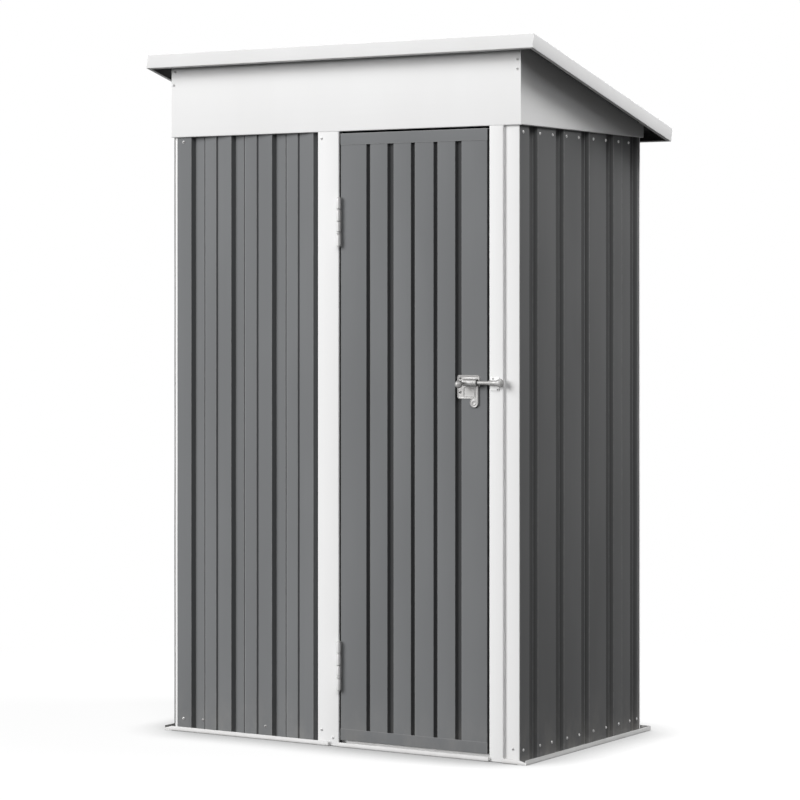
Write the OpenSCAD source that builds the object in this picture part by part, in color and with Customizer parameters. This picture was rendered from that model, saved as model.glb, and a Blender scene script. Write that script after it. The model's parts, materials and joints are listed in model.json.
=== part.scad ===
// Metal tool shed with a pent roof: a sheet steel box on four base rails, with
// ribbed grey walls, white corner and door posts, a white fascia and gables,
// and one ribbed door on two butt hinges, held by a barrel bolt.
//
// Frame: X to the right, Y to the back, Z up. The origin is on the ground,
// in the middle of the roof's outline.

/* [Building] */
// Width over the side walls
width = 1072; // [880:1:1400]
// Depth over the front and back walls
depth = 662; // [540:1:900]
// Height of the underside of the fascia and gables
eave_height = 1600; // [1200:1:2100]

/* [Roof] */
// Height of the top of the roof at its front edge
roof_height = 1824; // [1800:1:2400]
// Fall of the roof to the back, in degrees
roof_slope = 14.4; // [8:0.1:15]
// How far the roof's top edge stands out past the front wall
roof_front = 36; // [25:1:120]
// How far it stands out past each side wall
roof_side = 61; // [20:1:120]
// How far it stands out past the back wall
roof_back = 69; // [20:1:120]
// Height of the edge trim's outer face
trim_height = 38; // [30:1:60]
// Width of the edge trim's upper lip
trim_lip = 22; // [12:1:30]
// Height of the ribs of the roof sheets
roof_rib_height = 8; // [5:0.5:14]
// Width of a rib at its foot
roof_rib_width = 30; // [20:1:40]
// Ribs on each of the three roof sheets
roof_ribs_per_sheet = 4; // [3:1:5]

/* [Sheet metal] */
// Thickness of the wall, roof and door sheets
sheet = 1; // [0.8:0.1:1.5]
// Thickness of posts and rails
frame_sheet = 1.2; // [1:0.1:2]
// Depth of the wall ribs
rib_depth = 10.5; // [6:0.5:16]
// Width of a rib's sloping flank, seen square on
rib_run = 7.5; // [5:0.5:12]
// Pitch of the ribs on the front sheet
front_pitch = 131.5; // [110:0.5:150]
// Width of the first, flat band of the front sheet
front_crest = 46; // [30:1:60]
// Where the small step of the front sheet stands, as a share of the pitch
front_step_place = 0.61; // [0.5:0.01:0.65]
// Pitch of the ribs on the side and back sheets
wall_pitch = 137.5; // [120:0.5:160]
// Width of the floor of a groove on the side and back sheets
wall_groove = 29; // [20:1:45]
// Place of the first groove behind the front wall
first_groove = 70.5; // [70:0.5:90]
// Strip of the corner post left bare beside a wall sheet
post_sliver = 10; // [5:1:14]

/* [Posts] */
// Width of a corner post's leg
corner_leg = 45; // [35:1:48]
// Width of a back corner post's leg along the side wall
back_side_leg = 18; // [12:1:19]
// Width of the post that carries the hinges
hinge_post_width = 66; // [50:1:90]
// Width of the post that takes the bolt
latch_post_width = 41.5; // [30:0.5:60]
// How far these two posts and the door stand out past the wall sheets
door_frame_proud = 5.5; // [4:0.5:8]

/* [Base and top rails] */
// How far the base rail stands out at the front and back
rail_out_front = 12; // [8:1:20]
// How far it stands out at the sides
rail_out_side = 24; // [10:1:35]
// Height of its outer lip
rail_lip = 12; // [8:1:14]
// Height of its inner flange
rail_upright = 45; // [30:1:60]
// Height of the top rails
top_rail_height = 50; // [40:1:60]
// Width of the inward flange of the top rails
top_rail_flange = 25; // [15:1:35]

/* [Door] */
// Width of the door
door_width = 440; // [360:1:540]
// Gap below, above and on the latch side of the door
door_gap = 5.5; // [5:0.5:8]
// Gap between the hinge post and the door, which holds the hinge leaves
hinge_gap = 6.3; // [5.8:0.1:8]
// Thickness of the door
door_depth = 12; // [11:0.5:12]
// Depth of the door's grooves
door_groove_depth = 7; // [4:0.5:8]
// Pitch of the door's grooves
door_groove_pitch = 67.7; // [55:0.1:80]
// Height of the folded caps along its top and bottom
door_cap = 30; // [20:1:50]
// Width of the stiles inside its edges
stile_width = 25; // [18:1:35]

/* [Hinges] */
// Length of a hinge
hinge_length = 127; // [100:1:160]
// Height of the middle of the upper hinge
upper_hinge_z = 1364; // [1000:1:1450]
// Height of the middle of the lower hinge
lower_hinge_z = 210; // [150:1:500]
// Radius of the hinge knuckles
knuckle_radius = 5.75; // [5:0.05:7]
// Radius of the hinge pin
hinge_pin_radius = 3; // [2.5:0.1:3.5]

/* [Latch] */
// Height of the bolt
latch_z = 953; // [800:1:1100]
// Width of the latch plate
latch_plate_width = 67; // [55:1:80]
// Height of the latch plate
latch_plate_height = 61; // [50:1:75]
// From the door's edge to the latch plate
latch_inset = 20.5; // [12:0.5:30]
// Radius of the sliding rod
bolt_radius = 5; // [4:0.1:6]
// From the latch plate to the middle of the rod
rod_stand_off = 8; // [7:0.1:9]
// How far the rod reaches past the door's edge when it is shot
bolt_reach = 33; // [25:1:36]
// Radius of the ball knob
knob_radius = 10; // [7:0.5:11]

/* [Hidden] */
$fn = 64;

white = [0.93, 0.93, 0.93];
shade = [0.80, 0.80, 0.81];
grey = [0.33, 0.34, 0.35];
dark = [0.24, 0.25, 0.26];
zinc = [0.72, 0.72, 0.70];

// The four wall planes. The roof's outline is centred on the origin; its
// trim is square to the roof, so its foot stands forward of its top edge.
side_x = width / 2;
trim_kick = trim_height * sin(roof_slope);
front_y = (roof_front + trim_kick - depth - roof_back) / 2;
back_y = front_y + depth;

// Depths behind a wall plane, from the outside in.
post_depth = sheet;
liner_depth = rib_depth + sheet;
liner_inner = liner_depth + frame_sheet;

// Wall sheets run from the floor of the base rails to behind the fascia.
tuck = 12;
sheet_z = frame_sheet;
sheet_top = eave_height + tuck;
post_top = sheet_top;

// Grooves of the side and back sheets.
groove_reach = wall_groove / 2 + rib_run;
side_sheet_length = depth - post_sliver;
last_groove = depth - back_side_leg - post_depth - 2 - groove_reach;
side_groove_count = floor((last_groove - first_groove) / wall_pitch) + 1;
back_half_length = side_x - post_sliver;
back_groove_room = side_x - post_depth - corner_leg - 2 - groove_reach;
back_groove_count = floor((back_groove_room - wall_pitch / 2) / wall_pitch) + 1;

// Posts beside the doorway, placed from the right-hand corner.
frame_y = front_y - door_frame_proud;
latch_post_lap = 1.6;
latch_post_right = side_x - post_depth - corner_leg + latch_post_lap;
latch_post_left = latch_post_right - latch_post_width;
door_right = latch_post_left - door_gap;
door_left = door_right - door_width;
hinge_post_right = door_left - hinge_gap;
hinge_post_left = hinge_post_right - hinge_post_width;
post_foot_width = 30;

// Front sheet: raised bands start at the bare strip of the corner post.
front_sheet_left = -side_x + post_sliver;
front_sheet_lap = 24;
front_sheet_length = hinge_post_left + front_sheet_lap - front_sheet_left;
front_band_room = front_sheet_length - front_sheet_lap - front_crest - rib_run - 2;
front_band_count = floor(front_band_room / front_pitch) + 1;

// Fascia and gables stand out as far as the door frame does.
fascia_proud = door_frame_proud;
flange = 20;

// The roof's own frame: Y down the slope, Z square to it, zero at the top
// of the front edge.
roof_run = (roof_front + depth + roof_back) / cos(roof_slope);
roof_half = side_x + roof_side;
pan_top = -frame_sheet - roof_rib_height;
pan_bottom = pan_top - sheet;
trim_return = 10;
purlin_width = 40;
purlin_height = 25;

// Height of what the roof sheets rest on, over a depth behind the front wall.
seat_gap = 0.05;
function under_roof(d) =
    roof_height - (d + roof_front) * tan(roof_slope) + (pan_bottom - seat_gap) / cos(roof_slope);

// Door.
door_bottom = rail_lip + door_gap;
door_top = eave_height - door_gap;
door_grooves = [12, 19, 12, 12, 19];
door_groove_slope = 3;
door_skin_bottom = door_bottom + sheet;
door_skin_top = door_top - sheet;
stile_bottom = door_bottom + door_cap;
stile_top = door_top - door_cap;
brace_height = 40;

// Hinges: the pin stands in front of the gap between post and door.
leaf = 2;
leaf_width = 12;
knuckle_air = 0.3;
hinge_x = hinge_post_right + hinge_gap / 2;
hinge_y = frame_y - knuckle_radius - 0.5;
leaf_reach = frame_y - hinge_y + leaf_width;
pin_fit = 0.05;
pin_head = 2;
pin_head_radius = hinge_pin_radius + 1.2;
// Ends of the four knuckles, as shares of the hinge's length from its foot.
knuckle_ends = [0, 0.25, 0.51, 0.76, 1];

// Latch: the rod slides in a barrel on the plate, whose end is a thin sleeve
// that carries the hasp's ring.
plate = 1.5;
plate_corner = 6;
plate_low = latch_z - 0.69 * latch_plate_height;
plate_right = door_right - latch_inset;
plate_left = plate_right - latch_plate_width;
rod_y = frame_y - plate - rod_stand_off;
rod_fit = 0.05;
barrel_radius = rod_stand_off + 0.6;
barrel_left = plate_left + 24;
barrel_right = plate_right - 12;
ring_radius = rod_stand_off + 1;
ring_length = 8;
ring_air = 0.5;
ring_left = barrel_right + ring_air;
ring_right = ring_left + ring_length;
sleeve_radius = ring_radius - 1.4;
sleeve_bore = sleeve_radius - 0.8;
sleeve_end = ring_right + 1.5;
rod_left = plate_left + 11;
rod_right = door_right + bolt_reach;
rod_nose = 3;
knob_x = barrel_left - 5.5;
knob_out = knob_radius + barrel_radius - 0.8;
knob_stem_radius = 3;
hasp = 2;
hasp_back_y = frame_y - plate - 1;
hasp_drop = 51;
hasp_top = sqrt(pow(sleeve_radius, 2) - pow(rod_stand_off - hasp - 1, 2)) + 0.3;
pad_radius = 12.5;
pad_x = ring_right - pad_radius;

// Keeper: a plate with a cup whose neck flares to a rounded end.
keeper_left = latch_post_left + 4;
keeper_width = 27;
keeper_height = 35;
keeper_low = latch_z - keeper_height / 2 - 3;
keeper_corner = 3;
cup_mouth = keeper_left + 2;
cup_neck_end = keeper_left + 20;
cup_flare = keeper_left + 33;
cup_end = keeper_left + 41;
cup_end_edge = cup_end - 1.5;
cup_neck_radius = bolt_radius + 2.2;
cup_flare_radius = bolt_radius + 6;
cup_end_radius = bolt_radius + 2;
cup_bore = bolt_radius + 0.6;

// ---- building blocks -------------------------------------------------

// A block between two corners.
module block(low, high) {
    translate(low) cube(high - low);
}

// The same piece on the other side of the shed.
module other_side() {
    mirror([1, 0, 0]) children();
}

// A sheet folded along a plan outline, its inside one thickness in.
module folded_sheet(path, length) {
    back = [for (i = [len(path) - 1:-1:0]) path[i] + [0, sheet]];
    linear_extrude(length) polygon(concat(path, back));
}

// A plan outline with grooves at the given places.
function grooved(length, places, half) = concat(
    [[0, 0]],
    [for (c = places) each [
        [c - half - rib_run, 0],
        [c - half, rib_depth],
        [c + half, rib_depth],
        [c + half + rib_run, 0]
    ]],
    [[length, 0]]
);

// An outline in Y and Z carried along X.
module along_x(from, to, outline) {
    translate([from, 0, 0])
        rotate([90, 0, 90])
            linear_extrude(to - from) polygon(outline);
}

// A plate with round corners in the XZ plane, its front face at y.
module round_plate(left, bottom, w, h, r, y, t) {
    translate([left, y + t, bottom]) rotate([90, 0, 0]) linear_extrude(t) union() {
        translate([r, 0]) square([w - 2 * r, h]);
        translate([0, r]) square([w, h - 2 * r]);
        for (x = [r, w - r], z = [r, h - r]) translate([x, z]) circle(r);
    }
}

// A cylinder along X.
module rod(from, to, r) {
    translate([from, 0, 0]) rotate([0, 90, 0]) cylinder(h = to - from, r = r);
}

// ---- base rails ------------------------------------------------------

// Floor, outer lip and inner flange, for the wall at y = 0 with its inside
// towards +Y.
module base_section(out, floor_left, floor_right, wall_left, wall_right) {
    block([floor_left, -out, 0], [floor_right, liner_inner, frame_sheet]);
    block([floor_left, -out, 0], [floor_right, frame_sheet - out, rail_lip]);
    block([wall_left, liner_depth, 0], [wall_right, liner_inner, rail_upright]);
}

rail_end = side_x + rail_out_side - frame_sheet;
rail_inner = side_x - liner_depth;
rail_end_low = rail_lip / 2;

// Takes the top corner off the right-hand end of the front rail's lip.
module rail_end_cut() {
    high = rail_lip + 1;
    translate([0, front_y - rail_out_front + 2 * frame_sheet, 0])
        rotate([90, 0, 0])
            linear_extrude(3 * frame_sheet)
                polygon([[side_x, rail_lip], [rail_end + frame_sheet, rail_end_low],
                         [rail_end + frame_sheet, high], [side_x, high]]);
}

// The front rail's lip is cut where the door posts come down to the ground,
// and its ends are taken off at a slant.
module base_rail_front() {
    cut = rail_lip + 1;
    color(white) difference() {
        translate([0, front_y, 0])
            base_section(rail_out_front, -rail_end, rail_end, -rail_inner, rail_inner);
        block([hinge_post_right - post_foot_width, front_y - rail_out_front - 1, frame_sheet],
              [hinge_post_right, frame_y, cut]);
        block([latch_post_left, front_y - rail_out_front - 1, frame_sheet],
              [latch_post_right, frame_y, cut]);
        rail_end_cut();
        other_side() rail_end_cut();
    }
}

module base_rail_back() {
    color(white) translate([0, back_y, 0]) mirror([0, 1, 0])
        base_section(rail_out_front, -rail_end, rail_end, -rail_inner, rail_inner);
}

module base_rail_right() {
    color(white) {
        block([side_x - liner_inner, front_y + liner_inner, 0],
              [rail_end, back_y - liner_inner, frame_sheet]);
        block([side_x - liner_inner, front_y + liner_inner, 0],
              [rail_inner, back_y - liner_inner, rail_upright]);
        block([rail_end, front_y - rail_out_front, 0],
              [rail_end + frame_sheet, back_y + rail_out_front, rail_lip]);
    }
}

module base_rail_left() {
    other_side() base_rail_right();
}

// ---- posts -----------------------------------------------------------

// An angle with its corner at the outside, legs along +X and +Y.
module angle_post(leg_x, leg_y) {
    block([0, 0, sheet_z], [leg_x, frame_sheet, post_top]);
    block([0, 0, sheet_z], [frame_sheet, leg_y, post_top]);
}

module corner_post_front_left() {
    color(white) translate([post_depth - side_x, front_y + post_depth, 0])
        angle_post(corner_leg, corner_leg);
}

module corner_post_front_right() {
    other_side() corner_post_front_left();
}

module corner_post_back_left() {
    color(white) translate([post_depth - side_x, back_y - post_depth, 0])
        mirror([0, 1, 0]) angle_post(corner_leg, back_side_leg);
}

module corner_post_back_right() {
    other_side() corner_post_back_left();
}

// A channel that opens to the inside, with its own depth on each flank.
module door_post(left, right, left_depth, right_depth) {
    top = eave_height;
    block([left, frame_y, sheet_z], [right, frame_y + frame_sheet, top]);
    block([left, frame_y, sheet_z], [left + frame_sheet, front_y + left_depth, top]);
    block([right - frame_sheet, frame_y, sheet_z], [right, front_y + right_depth, top]);
}

module door_post_hinge_side() {
    color(white) door_post(hinge_post_left, hinge_post_right, rib_depth, liner_depth);
}

module door_post_latch_side() {
    color(white) door_post(latch_post_left, latch_post_right, liner_depth, post_depth);
}

// ---- top rails -------------------------------------------------------

top_rail_top = sheet_top + 3;
top_rail_bottom = top_rail_top - top_rail_height;

module top_rail_right() {
    color(white) {
        block([side_x - liner_inner, front_y + post_depth + frame_sheet, top_rail_bottom],
              [rail_inner, back_y - post_depth - frame_sheet, top_rail_top]);
        block([side_x - liner_inner - top_rail_flange, front_y + liner_inner,
               top_rail_top - frame_sheet],
              [side_x - liner_inner, back_y - liner_inner, top_rail_top]);
    }
}

module top_rail_left() {
    other_side() top_rail_right();
}

module top_rail_back() {
    reach = side_x - liner_inner;
    inner = reach - top_rail_flange;
    color(white) {
        block([-reach, back_y - liner_inner, top_rail_bottom],
              [reach, back_y - liner_depth, top_rail_top]);
        block([-inner, back_y - liner_inner - top_rail_flange, top_rail_top - frame_sheet],
              [inner, back_y - liner_inner, top_rail_top]);
    }
}

// Above the doorway the rail starts over the eave, clear of the door.
module top_rail_front() {
    reach = side_x - liner_inner;
    inner = reach - top_rail_flange;
    low = eave_height + 2;
    color(white) {
        block([-reach, front_y + liner_depth, low], [reach, front_y + liner_inner, top_rail_top]);
        block([-inner, front_y + liner_inner, top_rail_top - frame_sheet],
              [inner, front_y + liner_inner + top_rail_flange, top_rail_top]);
    }
}

// ---- wall sheets -----------------------------------------------------

// After the flat first band, each pitch drops by the rib's depth, comes out
// at a slant, drops by a small step and comes out again to the wall plane.
// The last drop runs on behind the hinge post.
module front_wall_sheet() {
    step_run = rib_run / 2;
    outline = concat(
        [[0, 0]],
        [for (i = [0:front_band_count - 1])
            let (edge = front_crest + i * front_pitch, step = edge + front_step_place * front_pitch)
            each concat(
                [[edge, 0], [edge + rib_run, rib_depth]],
                i == front_band_count - 1 ? [] : [
                    [step, 0.25 * rib_depth],
                    [step + step_run, 0.62 * rib_depth]
                ]
            )],
        [[front_sheet_length, rib_depth]]
    );
    color(grey) translate([front_sheet_left, front_y, sheet_z])
        folded_sheet(outline, sheet_top - sheet_z);
}

module right_wall_sheet() {
    places = [for (i = [0:side_groove_count - 1]) first_groove + i * wall_pitch];
    color(dark) translate([side_x, front_y, sheet_z]) rotate([0, 0, 90])
        folded_sheet(grooved(side_sheet_length, places, wall_groove / 2), sheet_top - sheet_z);
}

module left_wall_sheet() {
    other_side() right_wall_sheet();
}

// Half of the back wall, from the middle to the right-hand post.
module back_wall_sheet_right() {
    places = [for (i = [back_groove_count - 1:-1:0])
        back_half_length - (i + 0.5) * wall_pitch];
    color(dark) translate([back_half_length, back_y, sheet_z]) rotate([0, 0, 180])
        folded_sheet(grooved(back_half_length, places, wall_groove / 2), sheet_top - sheet_z);
}

module back_wall_sheet_left() {
    other_side() back_wall_sheet_right();
}

// ---- fascia and gables -----------------------------------------------

// A band of sheet under the roof between two depths behind the front wall.
function under_band(d0, d1, thick) = [
    [front_y + d0, under_roof(d0) - thick],
    [front_y + d1, under_roof(d1) - thick],
    [front_y + d1, under_roof(d1)],
    [front_y + d0, under_roof(d0)]
];

module fascia_front() {
    out = -fascia_proud;
    inside = out + sheet;
    color(white) {
        along_x(-side_x - fascia_proud, side_x + fascia_proud, [
            [front_y + out, eave_height],
            [front_y + inside, eave_height],
            [front_y + inside, under_roof(inside)],
            [front_y + out, under_roof(out)]
        ]);
        along_x(-side_x - fascia_proud + sheet, side_x + fascia_proud - sheet,
                under_band(inside, flange, sheet));
        block([-side_x, front_y + inside, eave_height], [side_x, front_y, eave_height + sheet]);
    }
}

module fascia_back() {
    out = depth + fascia_proud;
    inside = out - sheet;
    color(white) {
        along_x(-side_x - fascia_proud, side_x + fascia_proud, [
            [front_y + inside, eave_height],
            [front_y + out, eave_height],
            [front_y + out, under_roof(out)],
            [front_y + inside, under_roof(inside)]
        ]);
        along_x(-side_x - fascia_proud + sheet, side_x + fascia_proud - sheet,
                under_band(depth - flange, inside, sheet));
        block([-side_x, back_y, eave_height], [side_x, front_y + inside, eave_height + sheet]);
    }
}

module gable_right() {
    outer = side_x + fascia_proud;
    d0 = sheet - fascia_proud;
    d1 = depth + fascia_proud - sheet;
    color(shade) {
        along_x(outer - sheet, outer, [
            [front_y + d0, eave_height],
            [front_y + d1, eave_height],
            [front_y + d1, under_roof(d1)],
            [front_y + d0, under_roof(d0)]
        ]);
        along_x(side_x - flange, outer - sheet, under_band(flange, depth - flange, sheet));
        block([side_x, front_y + d0, eave_height], [outer, front_y + d1, eave_height + sheet]);
    }
}

module gable_left() {
    other_side() gable_right();
}

// ---- roof ------------------------------------------------------------

module on_roof() {
    translate([0, front_y - roof_front, roof_height]) rotate([-roof_slope, 0, 0]) children();
}

// One of three sheets, with its ribs running down the slope.
module roof_sheet(index) {
    reach = roof_half - frame_sheet;
    panel = 2 * reach / 3;
    pitch = panel / roof_ribs_per_sheet;
    top = -frame_sheet;
    foot = roof_rib_width / 2;
    crown = foot - rib_run;
    outline = concat(
        [[0, pan_top]],
        [for (i = [0:roof_ribs_per_sheet - 1]) each [
            [(i + 0.5) * pitch - foot, pan_top],
            [(i + 0.5) * pitch - crown, top],
            [(i + 0.5) * pitch + crown, top],
            [(i + 0.5) * pitch + foot, pan_top]
        ]],
        [[panel, pan_top]]
    );
    under = [for (i = [len(outline) - 1:-1:0]) outline[i] - [0, sheet]];
    color(dark) on_roof()
        translate([index * panel - reach, roof_run - frame_sheet, 0])
            rotate([90, 0, 0])
                linear_extrude(roof_run - 2 * frame_sheet) polygon(concat(outline, under));
}

module roof_sheet_left() {
    roof_sheet(0);
}

module roof_sheet_middle() {
    roof_sheet(1);
}

module roof_sheet_right() {
    roof_sheet(2);
}

// The front trim covers the full width of the roof.
module front_trim() {
    block([-roof_half, 0, -trim_height], [roof_half, frame_sheet, 0]);
    block([frame_sheet - roof_half, 0, -frame_sheet], [roof_half - frame_sheet, trim_lip, 0]);
    block([frame_sheet - roof_half, 0, -trim_height],
          [roof_half - frame_sheet, trim_return, frame_sheet - trim_height]);
}

module roof_edge_front() {
    color(white) on_roof() front_trim();
}

module roof_edge_back() {
    color(white) on_roof() translate([0, roof_run, 0]) mirror([0, 1, 0]) front_trim();
}

// The side trims run between the front and back ones.
module roof_edge_right() {
    outer = roof_half;
    color(white) on_roof() {
        block([outer - frame_sheet, frame_sheet, -trim_height],
              [outer, roof_run - frame_sheet, 0]);
        block([outer - trim_lip, trim_lip, -frame_sheet], [outer, roof_run - trim_lip, 0]);
        block([outer - trim_return, trim_return, -trim_height],
              [outer, roof_run - trim_return, frame_sheet - trim_height]);
    }
}

module roof_edge_left() {
    other_side() roof_edge_right();
}

// A hat channel across the middle of the roof, under its sheets.
module roof_purlin() {
    reach = side_x - flange;
    middle = roof_run / 2;
    y0 = middle - purlin_width / 2;
    y1 = middle + purlin_width / 2;
    high = pan_bottom - seat_gap;
    low = high - purlin_height;
    color(white) on_roof() {
        block([-reach, y0, high - frame_sheet], [reach, y1, high]);
        block([-reach, y0, low], [reach, y0 + frame_sheet, high]);
        block([-reach, y1 - frame_sheet, low], [reach, y1, high]);
    }
}

// ---- door ------------------------------------------------------------

// The door's own frame: X from its hinge edge, Y from its face to the inside.
module in_door() {
    translate([door_left, frame_y, 0]) children();
}

module door_sheet() {
    middle = (len(door_grooves) - 1) / 2;
    outline = concat(
        [[0, 0]],
        [for (i = [0:len(door_grooves) - 1])
            let (c = door_width / 2 + (i - middle) * door_groove_pitch, half = door_grooves[i] / 2)
            each [
                [c - half, 0],
                [c - half + door_groove_slope, door_groove_depth],
                [c + half - door_groove_slope, door_groove_depth],
                [c + half, 0]
            ]],
        [[door_width, 0]]
    );
    color(grey) in_door() {
        translate([0, 0, door_skin_bottom])
            folded_sheet(outline, door_skin_top - door_skin_bottom);
        block([0, 0, stile_bottom], [sheet, door_depth, stile_top]);
        block([door_width - sheet, 0, stile_bottom], [door_width, door_depth, stile_top]);
    }
}

// A folded cap over the door's upper or lower edge, its web at the top.
module door_cap_profile() {
    block([0, -sheet, -door_cap], [door_width, 0, 0]);
    block([0, -sheet, -sheet], [door_width, door_depth, 0]);
    block([0, door_depth - sheet, -door_cap], [door_width, door_depth, 0]);
}

module door_rail_top() {
    color(grey) in_door() translate([0, 0, door_top]) door_cap_profile();
}

module door_rail_bottom() {
    color(grey) in_door() translate([0, 0, door_bottom]) mirror([0, 0, 1]) door_cap_profile();
}

// A channel inside the door's edge, open to the inside of the shed.
module stile() {
    block([sheet, sheet, stile_bottom], [stile_width, sheet + frame_sheet, stile_top]);
    block([sheet, sheet, stile_bottom], [sheet + frame_sheet, door_depth, stile_top]);
    block([stile_width - frame_sheet, sheet, stile_bottom], [stile_width, door_depth, stile_top]);
}

module door_stile_hinge_side() {
    color(grey) in_door() stile();
}

module door_stile_latch_side() {
    color(grey) in_door() translate([door_width, 0, 0]) mirror([1, 0, 0]) stile();
}

// A shallow channel across the back of the door behind the latch.
module door_brace() {
    low = latch_z - brace_height / 2;
    high = latch_z + brace_height / 2;
    front = door_groove_depth + sheet;
    color(grey) in_door() {
        block([stile_width, front, low], [door_width - stile_width, front + frame_sheet, high]);
        block([stile_width, front, low], [door_width - stile_width, door_depth, low + frame_sheet]);
        block([stile_width, front, high - frame_sheet], [door_width - stile_width, door_depth, high]);
    }
}

// ---- hinges ----------------------------------------------------------

// Knuckles 1 and 3 from the foot belong to the door, 0 and 2 to the post.
module knuckles(first, grow, air) {
    for (i = [first:2:3]) {
        low = knuckle_ends[i] * hinge_length + air;
        high = knuckle_ends[i + 1] * hinge_length - air;
        translate([0, 0, low]) cylinder(h = high - low, r = knuckle_radius + grow);
    }
}

// The post leaf lies on the post's flank and holds the pin.
module post_leaf() {
    outer = -hinge_gap / 2;
    color(zinc) {
        difference() {
            union() {
                block([outer, 0, 0], [outer + leaf, leaf_reach, hinge_length]);
                knuckles(0, 0, knuckle_air / 2);
            }
            knuckles(1, 0.4, -knuckle_air / 2);
        }
        translate([0, 0, -pin_head])
            cylinder(h = hinge_length + 2 * pin_head, r = hinge_pin_radius);
        for (z = [-pin_head, hinge_length])
            translate([0, 0, z]) cylinder(h = pin_head, r = pin_head_radius);
    }
}

// The door leaf lies on the door's edge and turns on the pin.
module door_leaf() {
    outer = hinge_gap / 2;
    color(zinc) difference() {
        union() {
            block([outer - leaf, 0, 0], [outer, leaf_reach, hinge_length]);
            knuckles(1, 0, knuckle_air / 2);
        }
        knuckles(0, 0.4, -knuckle_air / 2);
        translate([0, 0, -1])
            cylinder(h = hinge_length + 2, r = hinge_pin_radius + pin_fit);
    }
}

module at_hinge(z) {
    translate([hinge_x, hinge_y, z - hinge_length / 2]) children();
}

module hinge_upper_post_leaf() {
    at_hinge(upper_hinge_z) post_leaf();
}

module hinge_upper_door_leaf() {
    at_hinge(upper_hinge_z) door_leaf();
}

module hinge_lower_post_leaf() {
    at_hinge(lower_hinge_z) post_leaf();
}

module hinge_lower_door_leaf() {
    at_hinge(lower_hinge_z) door_leaf();
}

// ---- latch -----------------------------------------------------------

module on_rod() {
    translate([0, rod_y, latch_z]) children();
}

// The plate is cut away round the hasp's ring.
module latch_plate() {
    ring_room = ring_radius + 1;
    color(zinc) difference() {
        union() {
            round_plate(plate_left, plate_low, latch_plate_width, latch_plate_height, plate_corner,
                        frame_y - plate, plate);
            on_rod() rod(barrel_left, barrel_right, barrel_radius);
            on_rod() rod(barrel_right - 1, sleeve_end, sleeve_radius);
        }
        on_rod() rod(barrel_left - 1, plate_right + 1, bolt_radius + rod_fit);
        on_rod() rod(barrel_right, plate_right + 1, sleeve_bore);
        block([barrel_left - 1, frame_y, latch_z - ring_room],
              [plate_right + 1, frame_y + ring_radius, latch_z + ring_room]);
        block([sleeve_end, frame_y - plate - 1, latch_z - ring_room],
              [plate_right + 1, frame_y + 1, latch_z + ring_room]);
        difference() {
            block([barrel_right, frame_y - plate - 1, latch_z - ring_room],
                  [sleeve_end + 1, frame_y + 1, latch_z + ring_room]);
            on_rod() rod(barrel_right - 1, sleeve_end + 2, sleeve_radius);
        }
    }
}

// The rod, its rounded nose and the ball knob on its stem.
module latch_bolt() {
    color(zinc) {
        on_rod() {
            rod(rod_left, rod_right - rod_nose, bolt_radius);
            translate([rod_right - rod_nose, 0, 0]) rotate([0, 90, 0])
                cylinder(h = rod_nose, r1 = bolt_radius, r2 = bolt_radius - rod_nose / 2);
        }
        translate([knob_x, rod_y, latch_z]) rotate([90, 0, 0])
            cylinder(h = knob_out, r = knob_stem_radius);
        translate([knob_x, rod_y - knob_out, latch_z]) sphere(knob_radius);
    }
}

// The strap hangs from a ring on the barrel's sleeve and ends in a round pad.
module latch_hasp() {
    color(zinc) {
        on_rod() difference() {
            rod(ring_left, ring_right, ring_radius);
            rod(ring_left - 1, ring_right + 1, sleeve_radius + rod_fit);
        }
        translate([0, hasp_back_y, latch_z]) rotate([90, 0, 0]) linear_extrude(hasp) union() {
            polygon([
                [ring_left, -hasp_top],
                [ring_right, -hasp_top],
                [ring_right, -hasp_drop],
                [pad_x, -hasp_drop],
                [ring_left - 3, -hasp_drop + pad_radius]
            ]);
            translate([pad_x, -hasp_drop]) circle(pad_radius);
        }
    }
}

module latch_keeper() {
    color(zinc) difference() {
        union() {
            round_plate(keeper_left, keeper_low, keeper_width, keeper_height, keeper_corner,
                        frame_y - plate, plate);
            on_rod() rotate([0, 90, 0]) rotate_extrude() polygon([
                [0, cup_mouth],
                [cup_neck_radius, cup_mouth],
                [cup_neck_radius, cup_neck_end],
                [cup_flare_radius, cup_flare],
                [cup_end_radius, cup_end_edge],
                [0, cup_end]
            ]);
        }
        on_rod() rod(cup_mouth - 1, cup_flare, cup_bore);
        block([cup_mouth - 1, frame_y, latch_z - cup_flare_radius - 1],
              [cup_end + 1, frame_y + cup_flare_radius, latch_z + cup_flare_radius + 1]);
    }
}

base_rail_front();
base_rail_back();
base_rail_left();
base_rail_right();
corner_post_front_left();
corner_post_front_right();
corner_post_back_left();
corner_post_back_right();
door_post_hinge_side();
door_post_latch_side();
top_rail_front();
top_rail_back();
top_rail_left();
top_rail_right();
front_wall_sheet();
left_wall_sheet();
right_wall_sheet();
back_wall_sheet_left();
back_wall_sheet_right();
fascia_front();
fascia_back();
gable_left();
gable_right();
roof_sheet_left();
roof_sheet_middle();
roof_sheet_right();
roof_edge_front();
roof_edge_back();
roof_edge_left();
roof_edge_right();
roof_purlin();
door_sheet();
door_rail_top();
door_rail_bottom();
door_stile_hinge_side();
door_stile_latch_side();
door_brace();
hinge_upper_post_leaf();
hinge_upper_door_leaf();
hinge_lower_post_leaf();
hinge_lower_door_leaf();
latch_plate();
latch_bolt();
latch_hasp();
latch_keeper();
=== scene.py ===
"""The metal tool shed: ribbed grey walls and door, white posts, fascia, gables and roof trim,
galvanised base rails, two butt hinges, a barrel bolt with its hasp, and screws."""

import json
import math

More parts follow.
